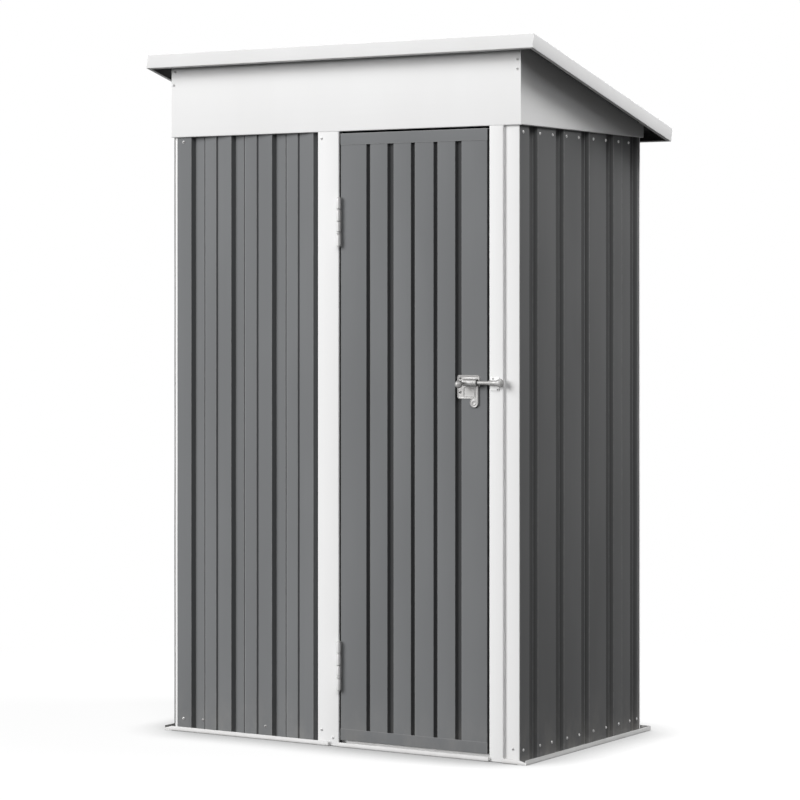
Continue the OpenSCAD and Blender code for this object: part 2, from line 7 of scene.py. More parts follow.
import bmesh
import bpy
import numpy as np
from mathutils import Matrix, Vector

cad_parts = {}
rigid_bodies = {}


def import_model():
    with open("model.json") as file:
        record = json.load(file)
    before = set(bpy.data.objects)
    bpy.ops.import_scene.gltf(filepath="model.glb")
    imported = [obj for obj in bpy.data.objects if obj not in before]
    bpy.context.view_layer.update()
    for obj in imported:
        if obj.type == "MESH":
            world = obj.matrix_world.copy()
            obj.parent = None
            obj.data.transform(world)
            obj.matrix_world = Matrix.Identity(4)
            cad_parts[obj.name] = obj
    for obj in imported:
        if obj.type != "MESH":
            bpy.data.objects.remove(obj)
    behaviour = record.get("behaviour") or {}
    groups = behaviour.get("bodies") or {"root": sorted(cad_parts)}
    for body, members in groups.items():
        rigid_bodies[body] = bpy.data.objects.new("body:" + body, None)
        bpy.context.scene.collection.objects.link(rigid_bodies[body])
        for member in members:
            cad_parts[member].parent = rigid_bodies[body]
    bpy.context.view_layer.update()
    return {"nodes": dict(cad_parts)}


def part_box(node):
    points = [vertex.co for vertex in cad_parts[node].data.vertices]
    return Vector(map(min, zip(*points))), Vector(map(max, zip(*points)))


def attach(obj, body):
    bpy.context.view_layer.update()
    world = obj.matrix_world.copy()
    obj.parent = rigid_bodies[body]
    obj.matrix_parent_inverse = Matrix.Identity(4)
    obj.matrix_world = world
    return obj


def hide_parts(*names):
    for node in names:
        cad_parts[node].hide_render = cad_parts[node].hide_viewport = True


for leftover in list(bpy.data.objects):
    bpy.data.objects.remove(leftover)
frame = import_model()

X, Y, Z = np.eye(3)
ORIGIN = np.zeros(3)

# Sheet metal sizes, in metres. GUARD is the width of the narrow row beside a cut edge, and
# DARK_DEPTH the depth over which a groove's painted shade grows dark.
SHEET, POST_SHEET = 0.001, 0.0012
BEND, POST_BEND, RAIL_BEND, DOOR_BEND = 0.0028, 0.0026, 0.0016, 0.0014
GUARD = 0.0016
DARK_DEPTH = 0.006
RIB_DEPTH, RIB_RUN = 0.0105, 0.0075


def box_of(node):
    """The lowest and the highest corner of a CAD node, as arrays."""
    return tuple(np.array(corner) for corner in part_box(node))


def low(node):
    """The lowest corner of a CAD node."""
    return box_of(node)[0]


def high(node):
    """The highest corner of a CAD node."""
    return box_of(node)[1]


# ---- surfaces


def placed(name, data):
    """A new object in the scene."""
    thing = bpy.data.objects.new(name, data)
    bpy.context.scene.collection.objects.link(thing)
    return thing


def square_to(axis):
    """Two unit ways that are square to an axis and to each other."""
    side = np.cross(axis, X if abs(axis[0]) < 0.9 else Y)
    side /= np.linalg.norm(side)
    return side, np.cross(axis, side)


def spaced(points):
    """The points of a line, without any that repeat the one before."""
    step = np.linalg.norm(np.diff(points, axis=0), axis=1)
    return points[np.concatenate([[True], step > 1e-7])]


def eased(outline, radius, arc=4):
    """An open outline with its corners eased, and a mark that is 1 on a bend and 0 on the flat.

    Near a corner, the point is the corner, less the way in times a reach times (1 - s) squared,
    plus the way out times the reach times s squared, for s from 0 to 1. The reach is the radius
    times the tangent of half the turn."""
    p = spaced(np.asarray(outline, float))
    step = np.diff(p, axis=0)
    size = np.linalg.norm(step, axis=1)
    way = step / size[:, None]
    turn = np.arccos(np.clip((way[:-1] * way[1:]).sum(1), -1, 1))
    reach = np.minimum(radius * np.tan(turn / 2), 0.45 * np.minimum(size[:-1], size[1:]))
    s = np.linspace(0, 1, arc + 1)
    into = (reach[:, None] * (1 - s) ** 2)[..., None] * way[:-1, None]
    out = (reach[:, None] * s ** 2)[..., None] * way[1:, None]
    curve = (p[1:-1, None] - into + out).reshape(-1, p.shape[1])
    mark = np.tile(np.sin(np.pi * s), len(p) - 2) * np.repeat(turn > 0.05, arc + 1)
    guard = np.minimum(GUARD, 0.3 * size[[0, -1]])
    points = np.vstack([p[0], p[0] + way[0] * guard[0], curve, p[-1] - way[-1] * guard[1], p[-1]])
    marks = np.concatenate([[1, 0], mark, [0, 1]])
    keep = np.concatenate([[True], np.linalg.norm(np.diff(points, axis=0), axis=1) > 1e-7])
    return points[keep], marks[keep]


def beside(outline, amount):
    """The outline moved to its left: each point moves along the sum of its two segments'
    normals, twice the amount over the square of that sum's length, so a bend keeps its width."""
    step = np.diff(outline, axis=0)
    normal = np.stack([-step[:, 1], step[:, 0]], 1) / np.linalg.norm(step, axis=1)[:, None]
    total = np.vstack([2 * normal[:1], normal[:-1] + normal[1:], 2 * normal[-1:]])
    return outline + total * (2 * amount / (total ** 2).sum(1))[:, None]


def folded(outline, thick, radius=BEND):
    """The two faces of a sheet folded along an outline, and its bend marks. Its middle line is
    the outline moved half a thickness to the left and eased, and a face stands on each side."""
    middle, marks = eased(beside(spaced(np.asarray(outline, float)), thick / 2), radius)
    return beside(middle, -thick / 2), beside(middle, thick / 2), marks


def darkened(outline, marks, dark, drag):
    """Bend marks with the dark of narrow folds, which stands in for their shadow, as negative
    marks. Without a drag, the dark follows how deep the outline lies, over a set depth. With
    one, it follows how steeply the outline goes down, its depth's share of each step, and is
    drawn on over that many points. The dark is its share times 1.6 less 0.5, held from 0 to 1.
    The middle of a bend stays clear of it, unless it is drawn on."""
    if drag is None:
        share, clean = outline[:, 1] / DARK_DEPTH, marks >= 0.6
    else:
        way = np.gradient(outline, axis=0)
        down = np.maximum(way[:, 1], 0) / np.linalg.norm(way, axis=1)
        padded = np.concatenate([np.zeros(drag), down])
        share = np.max([padded[k:k + len(down)] for k in range(drag + 1)], axis=0)
        clean = (marks >= 0.6) & (drag == 0)
    share = np.clip(share * 1.6 - 0.5, 0, 1)
    return np.where((share > 0.3) & ~clean, -dark * share, marks)


def distance_along(points):
    """How far along a line each of its points is."""
    return np.concatenate([[0], np.cumsum(np.linalg.norm(np.diff(points, axis=0), axis=-1))])


def quads(index):
    """The four-sided faces of a grid of point numbers."""
    corners = [index[:-1, :-1], index[:-1, 1:], index[1:, 1:], index[1:, :-1]]
    return np.stack(corners, -1).reshape(-1, 4)


def facing_out(points, faces):
    """The faces, turned round if the solid that they close has a negative volume: the sum of
    each triangle's first corner times the cross product of the other two."""
    a, b, c, d = (points[faces[:, k]] for k in range(4))
    volume = (a * np.cross(b, c)).sum() + (a * np.cross(c, d)).sum()
    return faces if volume >= 0 else faces[:, ::-1]


def shell(front, back, marks, along, across, inside=0.0):
    """A closed sheet between two grids of points, one behind the other, joined round the rim.
    Its back may carry one dark mark all over, a painted shade."""
    rows, cols = front.shape[:2]
    count = rows * cols
    index = np.arange(count).reshape(rows, cols)
    ring = np.concatenate([index[0, :-1], index[:-1, -1], index[-1, :0:-1], index[:0:-1, 0]])
    ahead = np.roll(ring, -1)
    rim = np.stack([ahead, ring, ring + count, ahead + count], 1)
    faces = np.vstack([quads(index), quads(index + count)[:, ::-1], rim])
    points = np.concatenate([front.reshape(-1, 3), back.reshape(-1, 3)])
    notes = np.stack([g.ravel() for g in np.broadcast_arrays(along, across, marks)], 1)
    behind = notes if inside == 0 else notes * (1, 1, 0) - (0, 0, inside)
    return points, facing_out(points, faces), np.vstack([notes, behind])


def crowded(count):
    """Shares from 0 to 1 that stand closer at both ends: 1 less the cosine of an even turn from
    0 to half a circle, halved."""
    return (1 - np.cos(np.linspace(0, math.pi, count))) / 2


def stations(start, end, rows):
    """Places from start to end for each outline point, with a narrow row at either end."""
    share = np.linspace(0, 1, rows)
    length = float(np.max(end) - np.min(start))
    near = min(GUARD / length, 0.3 / rows)
    share = np.concatenate([[0, near], share[1:-1], [1 - near, 1]])[:, None]
    return start + (end - start) * share


def sheet_between(first, last, thick, radius=BEND, rows=2):
    """A folded sheet that changes evenly from one outline in space to another. Each outline is
    (points in a plane, origin, u, v), and a row is their mix by its share of the way."""
    grids = []
    for outline, origin, u, v in (first, last):
        outer, inner, marks = folded(outline, thick, radius)
        grids.append([origin + f[:, :1] * u + f[:, 1:] * v for f in (outer, inner)])
    length = np.linalg.norm(grids[1][0][0] - grids[0][0][0])
    share = stations(np.zeros(1), np.ones(1), rows)[..., None]
    share[1], share[-2] = GUARD / length, 1 - GUARD / length
    front, back = (grids[0][k] * (1 - share) + grids[1][k] * share for k in (0, 1))
    ends = np.zeros((len(share), 1))
    ends[[0, -1]] = 1
    return shell(front, back, np.maximum(marks, ends), share[..., 0] * length,
                 distance_along(grids[0][0])[None])


def carried(outline, thick, origin, u, v, w, span, radius=BEND, rows=2, sway=0.0,
            dark=0.0, drag=None, inside=0.0):
    """A sheet folded along an outline and carried along w. A point is the origin plus its first
    number along u, its second along v and its station along w. Each end of the span is a number
    or a rule that gives it from the outline's points, as for a mitre. A thin sheet may sway in
    and out: the sway times half a wave over its length times two slow waves. Its folds may be
    painted dark as a painted shade, and the inside mark paints shade all over its back."""
    outer, inner, marks = folded(outline, thick, radius)
    marks = darkened(outer, marks, dark, drag) if dark else marks
    across = distance_along(outer)
    grids, places = [], []
    for face in (outer, inner):
        start, end = (rule(face) if callable(rule) else np.full(len(face), rule) for rule in span)
        place = stations(start[None], end[None], rows)
        share = (place - start) / (end - start)
        wave = (sway * np.sin(math.pi * share)
                * np.sin(place * 9.7 + across * 4.1) * np.sin(place * 3.3 + across * 13.0))
        grids.append(origin + face[None, :, :1] * u + (face[None, :, 1] + wave)[..., None] * v
                     + place[..., None] * w)
        places.append(place)
    ends = np.zeros((len(places[0]), 1))
    ends[[0, -1]] = 1
    return shell(grids[0], grids[1], marks * (1 - ends) + ends, places[0], across[None], inside)


def turned(profile, centre, axis, segments=40, radius=0.0004, arc=3):
    """A solid turned round an axis. Its profile gives (radius, height) pairs, its corners are
    eased, and a point is the centre plus the height along the axis and the radius round it."""
    points, marks = eased(profile, radius, arc)
    axis = np.asarray(axis, float)
    side, other = square_to(axis)
    angle = np.linspace(0, 2 * math.pi, segments + 1)
    round_ = np.cos(angle)[:, None] * side + np.sin(angle)[:, None] * other
    grid = (np.asarray(centre, float) + points[:, None, 1:] * axis + points[:, None, :1] * round_)
    index = np.arange(grid.shape[0] * grid.shape[1]).reshape(grid.shape[:2])
    faces = facing_out(grid.reshape(-1, 3), quads(index))
    notes = np.stack([g.ravel() for g in np.broadcast_arrays(
        angle[None] * np.max(points[:, 0]), distance_along(points)[:, None], marks[:, None])], 1)
    return grid.reshape(-1, 3), faces, notes


def pressed(left, right, heights, face, rise, columns=60):
    """A plate pressed from sheet. Row by row, left and right give its two edges over the
    heights, rise(x, z, edge distance) says how far its front stands out from y = face at each
    point, and its back is flat, at y = face."""
    x = left[:, None] + (right - left)[:, None] * crowded(columns)
    z = np.broadcast_to(heights[:, None], x.shape)
    inside = np.minimum(x - left[:, None], right[:, None] - x)
    front = np.stack([x, face - rise(x, z, inside), z], -1)
    back = np.stack([x, np.full_like(x, face), z], -1)
    return shell(front, back, np.zeros_like(x), z, x)


def mirrored(part):
    """The same part on the other side of the shed."""
    points, faces, notes = part
    points = points * (-1, 1, 1)
    return points, facing_out(points, faces), notes


def made(name, parts, finish, body, stands_for=(), sharp=32):
    """An object made of parts, with its finish, the body it rides on and the CAD nodes it stands
    for. Seams and poles are closed by merging the points that coincide."""
    offset, corners, points, notes = 0, [], [], []
    for part_points, part_faces, part_notes in parts:
        corners.append(part_faces + offset)
        points.append(part_points)
        notes.append(part_notes)
        offset += len(part_points)
    faces, notes = np.vstack(corners), np.vstack(notes)
    mesh = bpy.data.meshes.new(name)
    mesh.from_pydata(np.vstack(points).tolist(), [], faces.tolist())
    layer = mesh.uv_layers.new(name="run")
    layer.data.foreach_set("uv", notes[faces.ravel(), :2].astype(np.float32).ravel())
    # The edge attribute carries bend marks, which the finishes turn into rubbing and a painted highlight, and
    # negative marks, which they turn into painted shade.
    edge = mesh.attributes.new("edge", "FLOAT", "POINT")
    edge.data.foreach_set("value", notes[:, 2].astype(np.float32))
    solid = bmesh.new()
    solid.from_mesh(mesh)
    bmesh.ops.remove_doubles(solid, verts=solid.verts, dist=2e-6)
    solid.to_mesh(mesh)
    solid.free()
    mesh.shade_smooth()
    mesh.set_sharp_from_angle(angle=math.radians(sharp))
    thing = placed(name, mesh)
    material, slot = FINISHES[finish]
    mesh.materials.append(material)
    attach(thing, body)
    if stands_for:
        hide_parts(*stands_for)
    return thing


def made_pair(name, parts, finish, node):
    """An object on the right side of the shed, and its mirror image on the left."""
    for side in ("right", "left"):
        made(name.replace("right", side), parts, finish, "root", [node.replace("right", side)])
        parts = [mirrored(part) for part in parts]


# ---- materials


class Net:
    """A node tree that is filled with short calls."""

    def __init__(self, tree):
        self.tree = tree

    def add(self, kind, settings=None, **inputs):
        """A node of a kind with its settings; an input is a value or another node's output."""
        node = self.tree.nodes.new("ShaderNode" + kind)
        for key, value in (settings or {}).items():
            setattr(node, key, value)
        for key, value in inputs.items():
            key = int(key[1:]) if key[0] == "_" else key.replace("_", " ")
            socket = node.inputs[key]
            if isinstance(value, bpy.types.NodeSocket):
                self.tree.links.new(value, socket)
            else:
                socket.default_value = value
        return node

    def math(self, operation, a, b=0.0, clamp=False):
        """One sum on two numbers."""
        settings = {"operation": operation, "use_clamp": clamp}
        return self.add("Math", settings, _0=a, _1=b).outputs[0]

    def times(self, a, b, clamp=False):
        """One number times another."""
        return self.math("MULTIPLY", a, b, clamp)

    def plus(self, a, b, clamp=False):
        """One number and another."""
        return self.math("ADD", a, b, clamp)

    def noise(self, vector, scale, detail=2.0, rough=0.5):
        """A noise over a vector, from 0 to 1."""
        return self.add("TexNoise", Vector=vector, Scale=scale, Detail=detail,
                        Roughness=rough).outputs["Fac"]

    def between(self, value, start, end, first=0.0, last=1.0):
        """A value taken smoothly from one range to another and held inside it."""
        return self.add("MapRange", {"interpolation_type": "SMOOTHSTEP"}, Value=value,
                        From_Min=start, From_Max=end, To_Min=first, To_Max=last).outputs[0]

    def stretched(self, vector, scale):
        """A vector scaled along its own axes."""
        return self.add("Mapping", Vector=vector, Scale=scale).outputs[0]

    def mix(self, share, first, second):
        """Two colours mixed."""
        node = self.add("Mix", {"data_type": "RGBA"}, _0=share)
        for place, value in ((6, first), (7, second)):
            if isinstance(value, bpy.types.NodeSocket):
                self.tree.links.new(value, node.inputs[place])
            else:
                node.inputs[place].default_value = value
        return node.outputs[2]


def effect(name, inputs, outputs, body):
    """A node group with named inputs and outputs. Its body takes the net and the group's inputs
    and returns one socket for each output."""
    tree = bpy.data.node_groups.new(name, "ShaderNodeTree")
    for key, value in inputs.items():
        socket = tree.interface.new_socket(key, in_out="INPUT", socket_type="NodeSocketFloat")
        socket.default_value = value
    for key in outputs:
        tree.interface.new_socket(key, in_out="OUTPUT", socket_type="NodeSocketFloat")
    source, sink = tree.nodes.new("NodeGroupInput"), tree.nodes.new("NodeGroupOutput")
    for place, socket in enumerate(body(Net(tree), source.outputs)):
        tree.links.new(socket, sink.inputs[place])
    return tree


def uneven(net, given):
    """Slow cloudiness and fine speckle of a coat, both from 0 to 1."""
    place = net.add("TexCoord").outputs["Object"]
    slow = net.noise(net.stretched(place, (1.0, 1.0, 0.35)), given["Cloud Scale"], 3.0)
    fine = net.noise(place, given["Speckle Scale"], 2.0)
    return net.between(slow, 0.3, 0.7), net.between(fine, 0.3, 0.7)


def rubbed_edges_highlight_and_shade(net, given):
    """Where a surface is rubbed: its bends and cut edges, broken up by a noise, partly rubbing and
    partly painted highlight; the same edges whole, for a painted highlight; and third, where its marks are
    negative, a painted shade in its recesses."""
    edge = net.add("Attribute", {"attribute_name": "edge"}).outputs["Fac"]
    place = net.add("TexCoord").outputs["Object"]
    broken = net.noise(place, given["Scale"], 3.0, 0.6)
    kept = net.between(broken, 0.42, 0.62)
    rubbed_and_painted_light = net.times(net.times(edge, kept), given["Amount"], clamp=True)
    recess = net.times(edge, -1.0, clamp=True)
    return rubbed_and_painted_light, net.times(edge, given["Amount"], clamp=True), recess


def rolling(net, given):
    """Fine lines left by the rolls, along the sheet's own run: wide apart and close together."""
    run = net.add("UVMap", {"uv_map": "run"}).outputs["UV"]
    broad = net.noise(net.stretched(run, (1.3, 90.0, 1.0)), given["Scale"], 2.0)
    close = net.noise(net.stretched(run, (6.0, 900.0, 1.0)), given["Scale"], 2.0, 0.6)
    both = net.plus(net.times(broad, 0.6), net.times(close, 0.4))
    return net.between(both, 0.32, 0.68), close


def ground_dust(net, given):
    """Dust thrown up from the ground: full at the foot, gone at its height, and patchy."""
    place = net.add("TexCoord").outputs["Object"]
    rise = net.add("SeparateXYZ", Vector=place).outputs["Z"]
    fade = net.math("SUBTRACT", 1.0, net.math("DIVIDE", rise, given["Height"]), clamp=True)
    patch = net.noise(net.stretched(place, (1.0, 1.0, 0.5)), 22.0, 4.0, 0.62)
    dust = net.times(net.math("POWER", fade, 1.6), net.between(patch, 0.3, 0.75))
    return (net.times(dust, given["Amount"], clamp=True),)


def sheet_relief(net, given):
    """Height of a coated sheet: slow hollows between its fixings and the coat's orange peel."""
    place = net.add("TexCoord").outputs["Object"]
    slow = net.noise(net.stretched(place, (1.0, 1.0, 0.4)), 7.0, 1.0)
    peel = net.noise(place, 620.0, 1.0)
    return (net.plus(net.times(slow, given["Hollows"]),
                     net.times(peel, given["Peel"])),)


EFFECTS = {
    "uneven": effect("uneven_coat", {"Cloud Scale": 5.0, "Speckle Scale": 380.0},
                     ["Cloud", "Speckle"], uneven),
    "rubbing_and_painted_light": effect("rubbed_edges_highlight_and_shade", {"Amount": 1.0, "Scale": 60.0}, ["Worn", "Edge", "Painted Shade"], rubbed_edges_highlight_and_shade),
    "rolling": effect("rolling_lines", {"Scale": 1.0}, ["Lines", "Close"], rolling),
    "dust": effect("ground_dust", {"Amount": 0.3, "Height": 0.2}, ["Dust"], ground_dust),
    "relief": effect("sheet_relief", {"Hollows": 0.0006, "Peel": 0.00001}, ["Height"], sheet_relief),
}


def use(net, name, **values):
    """One of the effects, placed in a material with its own values."""
    node = net.tree.nodes.new("ShaderNodeGroup")
    node.node_tree = EFFECTS[name]
    for key, value in values.items():
        node.inputs[key.replace("_", " ")].default_value = value
    return node.outputs


def grey(level, warm=0.0):
    """A grey as a colour, a little warm or cold."""
    return (level * (1 + warm), level, level * (1 - warm), 1)


def started(name):
    """A new material and the net of its nodes."""
    material = bpy.data.materials.new(name)
    material.use_nodes = True
    return material, Net(material.node_tree)


def finished(material, net, colour, roughness, height, **constants):
    """The material, with its net's results joined to the shader, and constants on the shader's
    own sockets."""
    shader = material.node_tree.nodes["Principled BSDF"]
    bump = net.add("Bump", Strength=1.0, Distance=1.0, Height=height).outputs[0]
    for socket, source in (("Base Color", colour), ("Roughness", roughness), ("Normal", bump)):
        net.tree.links.new(source, shader.inputs[socket])
    for key, value in constants.items():
        shader.inputs[key.replace("_", " ")].default_value = value
    return material


def coated_steel(name, tones, tints, dust, rough, hollows, specular):
    """Coated sheet steel: a cloudy coat with faint rolling lines, lighter along every bend and edge as a
    painted highlight and more so where they are rubbed, nearly black in its recesses as a painted shade,
    and dusty near the ground. The tones are the coat's, its clouds' and its rubbed, highlighted bends'."""
    material, net = started(name)
    main, cloudy, rubbed_and_highlight_tone = grey(tones[0], tints[0]), grey(tones[1], tints[1]), grey(tones[2])
    coat, lines = use(net, "uneven"), use(net, "rolling")
    rubbed_and_painted_light, dirt = use(net, "rubbing_and_painted_light", Amount=0.8), use(net, "dust", Amount=dust, Height=0.16)
    colour = net.mix(coat["Cloud"], main, cloudy)
    colour = net.mix(net.times(lines["Lines"], 0.30), colour, cloudy)
    # Every bend and edge is lightened: a painted highlight.
    colour = net.mix(net.times(rubbed_and_painted_light["Edge"], 0.6), colour, rubbed_and_highlight_tone)
    colour = net.mix(net.times(rubbed_and_painted_light["Worn"], 0.5), colour, rubbed_and_highlight_tone)
    # Recesses, grooves, gaps and bores are painted nearly black: painted shade.
    colour = net.mix(rubbed_and_painted_light["Painted Shade"], colour, grey(0.012))
    colour = net.mix(dirt["Dust"], colour, (0.42, 0.40, 0.37, 1))
    roughness = net.plus(net.times(coat["Cloud"], 0.06), rough)
    roughness = net.plus(roughness, net.times(coat["Speckle"], 0.03))
    roughness = net.plus(roughness, net.times(dirt["Dust"], 0.3), clamp=True)
    relief = use(net, "relief", Hollows=hollows, Peel=0.000012)
    return finished(material, net, colour, roughness, relief["Height"], Specular_IOR_Level=specular)


def bare_steel(name, tones, tints, rough, lines, rubbing_and_painted_light, metal, dust):
    """Zinc-coated steel: metal whose tone follows its rolling lines and a slow bloom, brighter
    where it is rubbed and on marked rims, which is partly a painted highlight, and dark in its recesses, a
    painted shade."""
    material, net = started(name)
    main, dull = grey(tones[0], tints[0]), grey(tones[1], tints[1])
    bloom = use(net, "uneven", Cloud_Scale=24.0, Speckle_Scale=520.0)
    rolled = use(net, "rolling")
    rubbed_and_painted_light, dirt = use(net, "rubbing_and_painted_light", Amount=rubbing_and_painted_light, Scale=140.0), use(net, "dust", Amount=dust, Height=0.03)
    tone = net.plus(net.times(rolled["Lines"], lines),
                    net.times(bloom["Cloud"], 1 - lines))
    colour = net.mix(tone, main, dull)
    colour = net.mix(rubbed_and_painted_light["Worn"], colour, grey(0.86, 0.004))
    # Recesses and bores are painted dark: painted shade.
    colour = net.mix(rubbed_and_painted_light["Painted Shade"], colour, grey(0.03))
    colour = net.mix(dirt["Dust"], colour, (0.40, 0.38, 0.35, 1))
    roughness = net.plus(net.times(tone, 0.14), rough)
    roughness = net.plus(roughness, net.times(bloom["Speckle"], 0.05), clamp=True)
    height = net.plus(net.times(rolled["Close"], 0.000012 * lines),
                      net.times(bloom["Speckle"], 0.000006))
    return finished(material, net, colour, roughness, height, Metallic=metal)


# A row is a finish, its slot, the tones of its coat, clouds and rubbed, highlighted bends, the
# tints of the first two, dust, roughness, hollows and gloss. The roof has no gloss, so that no
# lamp shows between its ribs. The trim, wall, post and roof rows are lighter or darker copies of the white
# and grey coats: painted light and shade.
COATS = [
    ("white", "white_steel", (0.87, 0.845, 0.93), (0, 0.002), 0.14, 0.46, 0.0005, 0.10),
    ("grey", "grey_steel", (0.206, 0.188, 0.33), (-0.026, -0.026), 0.22, 0.50, 0.0009, 0.05),
    # A darker copy of the white coat for the roof's trims: painted shade.
    ("trim", "white_steel", (0.76, 0.73, 0.83), (0, 0.002), 0.0, 0.55, 0.0005, 0.06),
    # A darker copy of the grey coat for the side and back walls: painted shade.
    ("wall", "grey_steel", (0.134, 0.119, 0.27), (-0.010, -0.010), 0.22, 0.50, 0.0009, 0.05),
    # A lighter copy of the white coat for the posts: painted light.
    ("post", "white_steel", (0.90, 0.88, 0.94), (0, 0.002), 0.12, 0.46, 0.0004, 0.10),
    # A darker copy of the grey coat for the roof sheets: painted shade under the roof.
    ("roof", "grey_steel", (0.105, 0.092, 0.20), (-0.012, -0.012), 0.10, 0.60, 0.0009, 0.0),
]
# A row is a finish, its slot, the tones of the metal and its dull bloom, their tints, roughness,
# the share of the rolling lines, the rubbing and painted highlight on bends and rims, how metallic it is, and
# dust.
METALS = [
    ("rail", "galvanised_steel", (0.64, 0.50), (0.002, 0.004), 0.38, 0.85, 0.5, 0.8, 0.3),
    ("part", "zinc_plate", (0.34, 0.27), (0.012, 0.02), 0.42, 0.25, 0.8, 0.6, 0.0),
    ("screw", "zinc_plate", (0.50, 0.40), (0.004, 0.008), 0.36, 0.2, 0.6, 0.7, 0.0),
    ("hinge", "zinc_plate", (0.66, 0.58), (0.003, 0.006), 0.42, 0.3, 0.5, 0.35, 0.0),
]
FINISHES = {key: (coated_steel(f"{key}_coat", *values), slot) for key, slot, *values in COATS}
FINISHES |= {key: (bare_steel(f"{key}_zinc", *values), slot) for key, slot, *values in METALS}

# ---- walls

FRONT_PITCH, FRONT_CREST = 0.1315, 0.046
WALL_PITCH, WALL_GROOVE, FIRST_GROOVE = 0.1375, 0.029, 0.0705
wall_low, wall_high = box_of("right_wall_sheet")
side_x, front_y = wall_high[0], wall_low[1]
back_y = high("back_wall_sheet_left")[1]
sheet_z, sheet_top = wall_low[2], wall_high[2]
WALL_ROWS = 40


def groove(centre, half, run=RIB_RUN, depth=RIB_DEPTH):
    """The four corners of a groove in a sheet's outline."""
    return [(centre - half - run, 0), (centre - half, depth),
            (centre + half, depth), (centre + half + run, 0)]


def grooved(length, places):
    """The outline of a wall sheet, with a groove at each place."""
    line = [(0, 0)]
    for place in places:
        line += groove(place, WALL_GROOVE / 2)
    return line + [(length, 0)]


def wall_sheet(outline, origin, u, v, dark=0.42, drag=None, radius=BEND):
    """A ribbed wall sheet, from the foot of the walls to their top, its grooves painted dark as a painted
    shade.
    """
    return carried(outline, SHEET, np.array(origin), u, v, Z, (sheet_z, sheet_top), radius=radius,
                   rows=WALL_ROWS, sway=0.0003, dark=dark, drag=drag)


def crease(line, place, half=0.0026, deep=0.0022):
    """Three points of a sharp valley pressed into a stretch of an outline. Its shoulders lie as
    deep as the stretch does in the valley's middle."""
    (x0, y0), (x1, y1) = line
    base = y0 + (y1 - y0) * (place - x0) / (x1 - x0)
    return [(place - half, base), (place, base + deep), (place + half, base)]


# The front sheet drops by a rib, comes out at a slant, drops by a small step and comes out again.
sheet_left = low("front_wall_sheet")[0]
sheet_length = high("front_wall_sheet")[0] - sheet_left
STEP_PLACE, STEP_HIGH, STEP_LOW = 0.61, 0.25 * RIB_DEPTH, 0.62 * RIB_DEPTH
CREASES = (0.0405, 0.0385, 0.0415)
front_edges = FRONT_CREST + np.arange(4) * FRONT_PITCH
front_outline = [(0, 0)]
for edge, crease_at in zip(front_edges[:3], CREASES):
    foot, step = (edge + RIB_RUN, RIB_DEPTH), (edge + STEP_PLACE * FRONT_PITCH, STEP_HIGH)
    front_outline += [(edge, 0), foot] + crease((foot, step), edge + crease_at)
    front_outline += [step, (step[0] + RIB_RUN / 2, STEP_LOW)]
front_outline += [(front_edges[3], 0), (front_edges[3] + RIB_RUN, RIB_DEPTH), (sheet_length, RIB_DEPTH)]
# Its folds are painted dark, a painted shade in them.
made("front_wall_ribbed", [wall_sheet(front_outline, (sheet_left, front_y, 0), X, Y, dark=0.68, drag=2,
                                      radius=0.0022)], "grey", "root", ["front_wall_sheet"])

# Two sheets meet on each side wall, at a fine line.
LAP = 0.552
side_grooves = FIRST_GROOVE + WALL_PITCH * np.arange(5)
side_outline = grooved(wall_high[1] - front_y, side_grooves)
side_outline += [(LAP - 0.0006, 0), (LAP, 0.0009), (LAP + 0.0006, 0)]
side_part = wall_sheet(sorted(side_outline), (side_x, front_y, 0), Y, -X)
made_pair("right_wall_ribbed", [side_part], "wall", "right_wall_sheet")

back_grooves = WALL_PITCH * (np.arange(3) + 0.5)
back_outline = grooved(high("back_wall_sheet_right")[0], back_grooves)
back_part = wall_sheet(back_outline, (0, back_y, 0), X, -Y)
made_pair("back_wall_ribbed_right", [back_part], "wall", "back_wall_sheet_right")

# ---- posts


def post(name, outline, node, both=True, dark=0.0):
    """A post folded along a plan outline over its CAD node's height, and its mirror image on the
    right where both are wanted. Its legs may be painted dark, a painted shade."""
    part = carried(outline, POST_SHEET, ORIGIN, X, Y, Z, (low(node)[2], high(node)[2]),
                   radius=POST_BEND, rows=12, dark=dark, drag=0)
    made(name, [part], "post", "root", [node])
    if both:
        other = node.replace("left", "right")
        made(name.replace("left", "right"), [mirrored(part)], "post", "root", [other])


for end in ("front", "back"):
    node = f"corner_post_{end}_left"
    (x0, y0, _), (x1, y1, _) = box_of(node)
    corner, leg = (y0, y1) if end == "front" else (y1, y0)
    outline = [(x0, leg), (x0, corner), (x1, corner)]
    post(f"corner_angle_{end}_left", outline if end == "front" else outline[::-1], node)

# The hinge post's leg beside the door is painted dark: a painted shade in the gap.
for side, left_depth, right_depth in (("hinge", RIB_DEPTH, RIB_DEPTH + SHEET),
                                      ("latch", RIB_DEPTH + SHEET, SHEET)):
    node = f"door_post_{side}_side"
    (x0, y0, _), (x1, _, _) = box_of(node)
    post(f"door_channel_{side}_side", [(x0, front_y + left_depth), (x0, y0), (x1, y0),
                                       (x1, front_y + right_depth)], node, both=False,
         dark=0.85 if side == "hinge" else 0.0)

# ---- base rails

RAIL_LIP, RAIL_UPRIGHT, RAIL_CORNER, LIP_AIR = 0.012, 0.045, 0.006, 0.0002
lip_y, inner_y = (corner[1] for corner in box_of("base_rail_front"))
back_inner, back_lip = (corner[1] for corner in box_of("base_rail_back"))
side_inner, lip_x = (corner[0] for corner in box_of("base_rail_right"))
hinge_low, hinge_high = box_of("door_post_hinge_side")
latch_low, latch_high = box_of("door_post_latch_side")


def rail_strip(outline, thick, across, along, span):
    """A strip of a base rail, folded across its run."""
    return carried(outline, thick, ORIGIN, across, Z, along, span, radius=RAIL_BEND, rows=8)


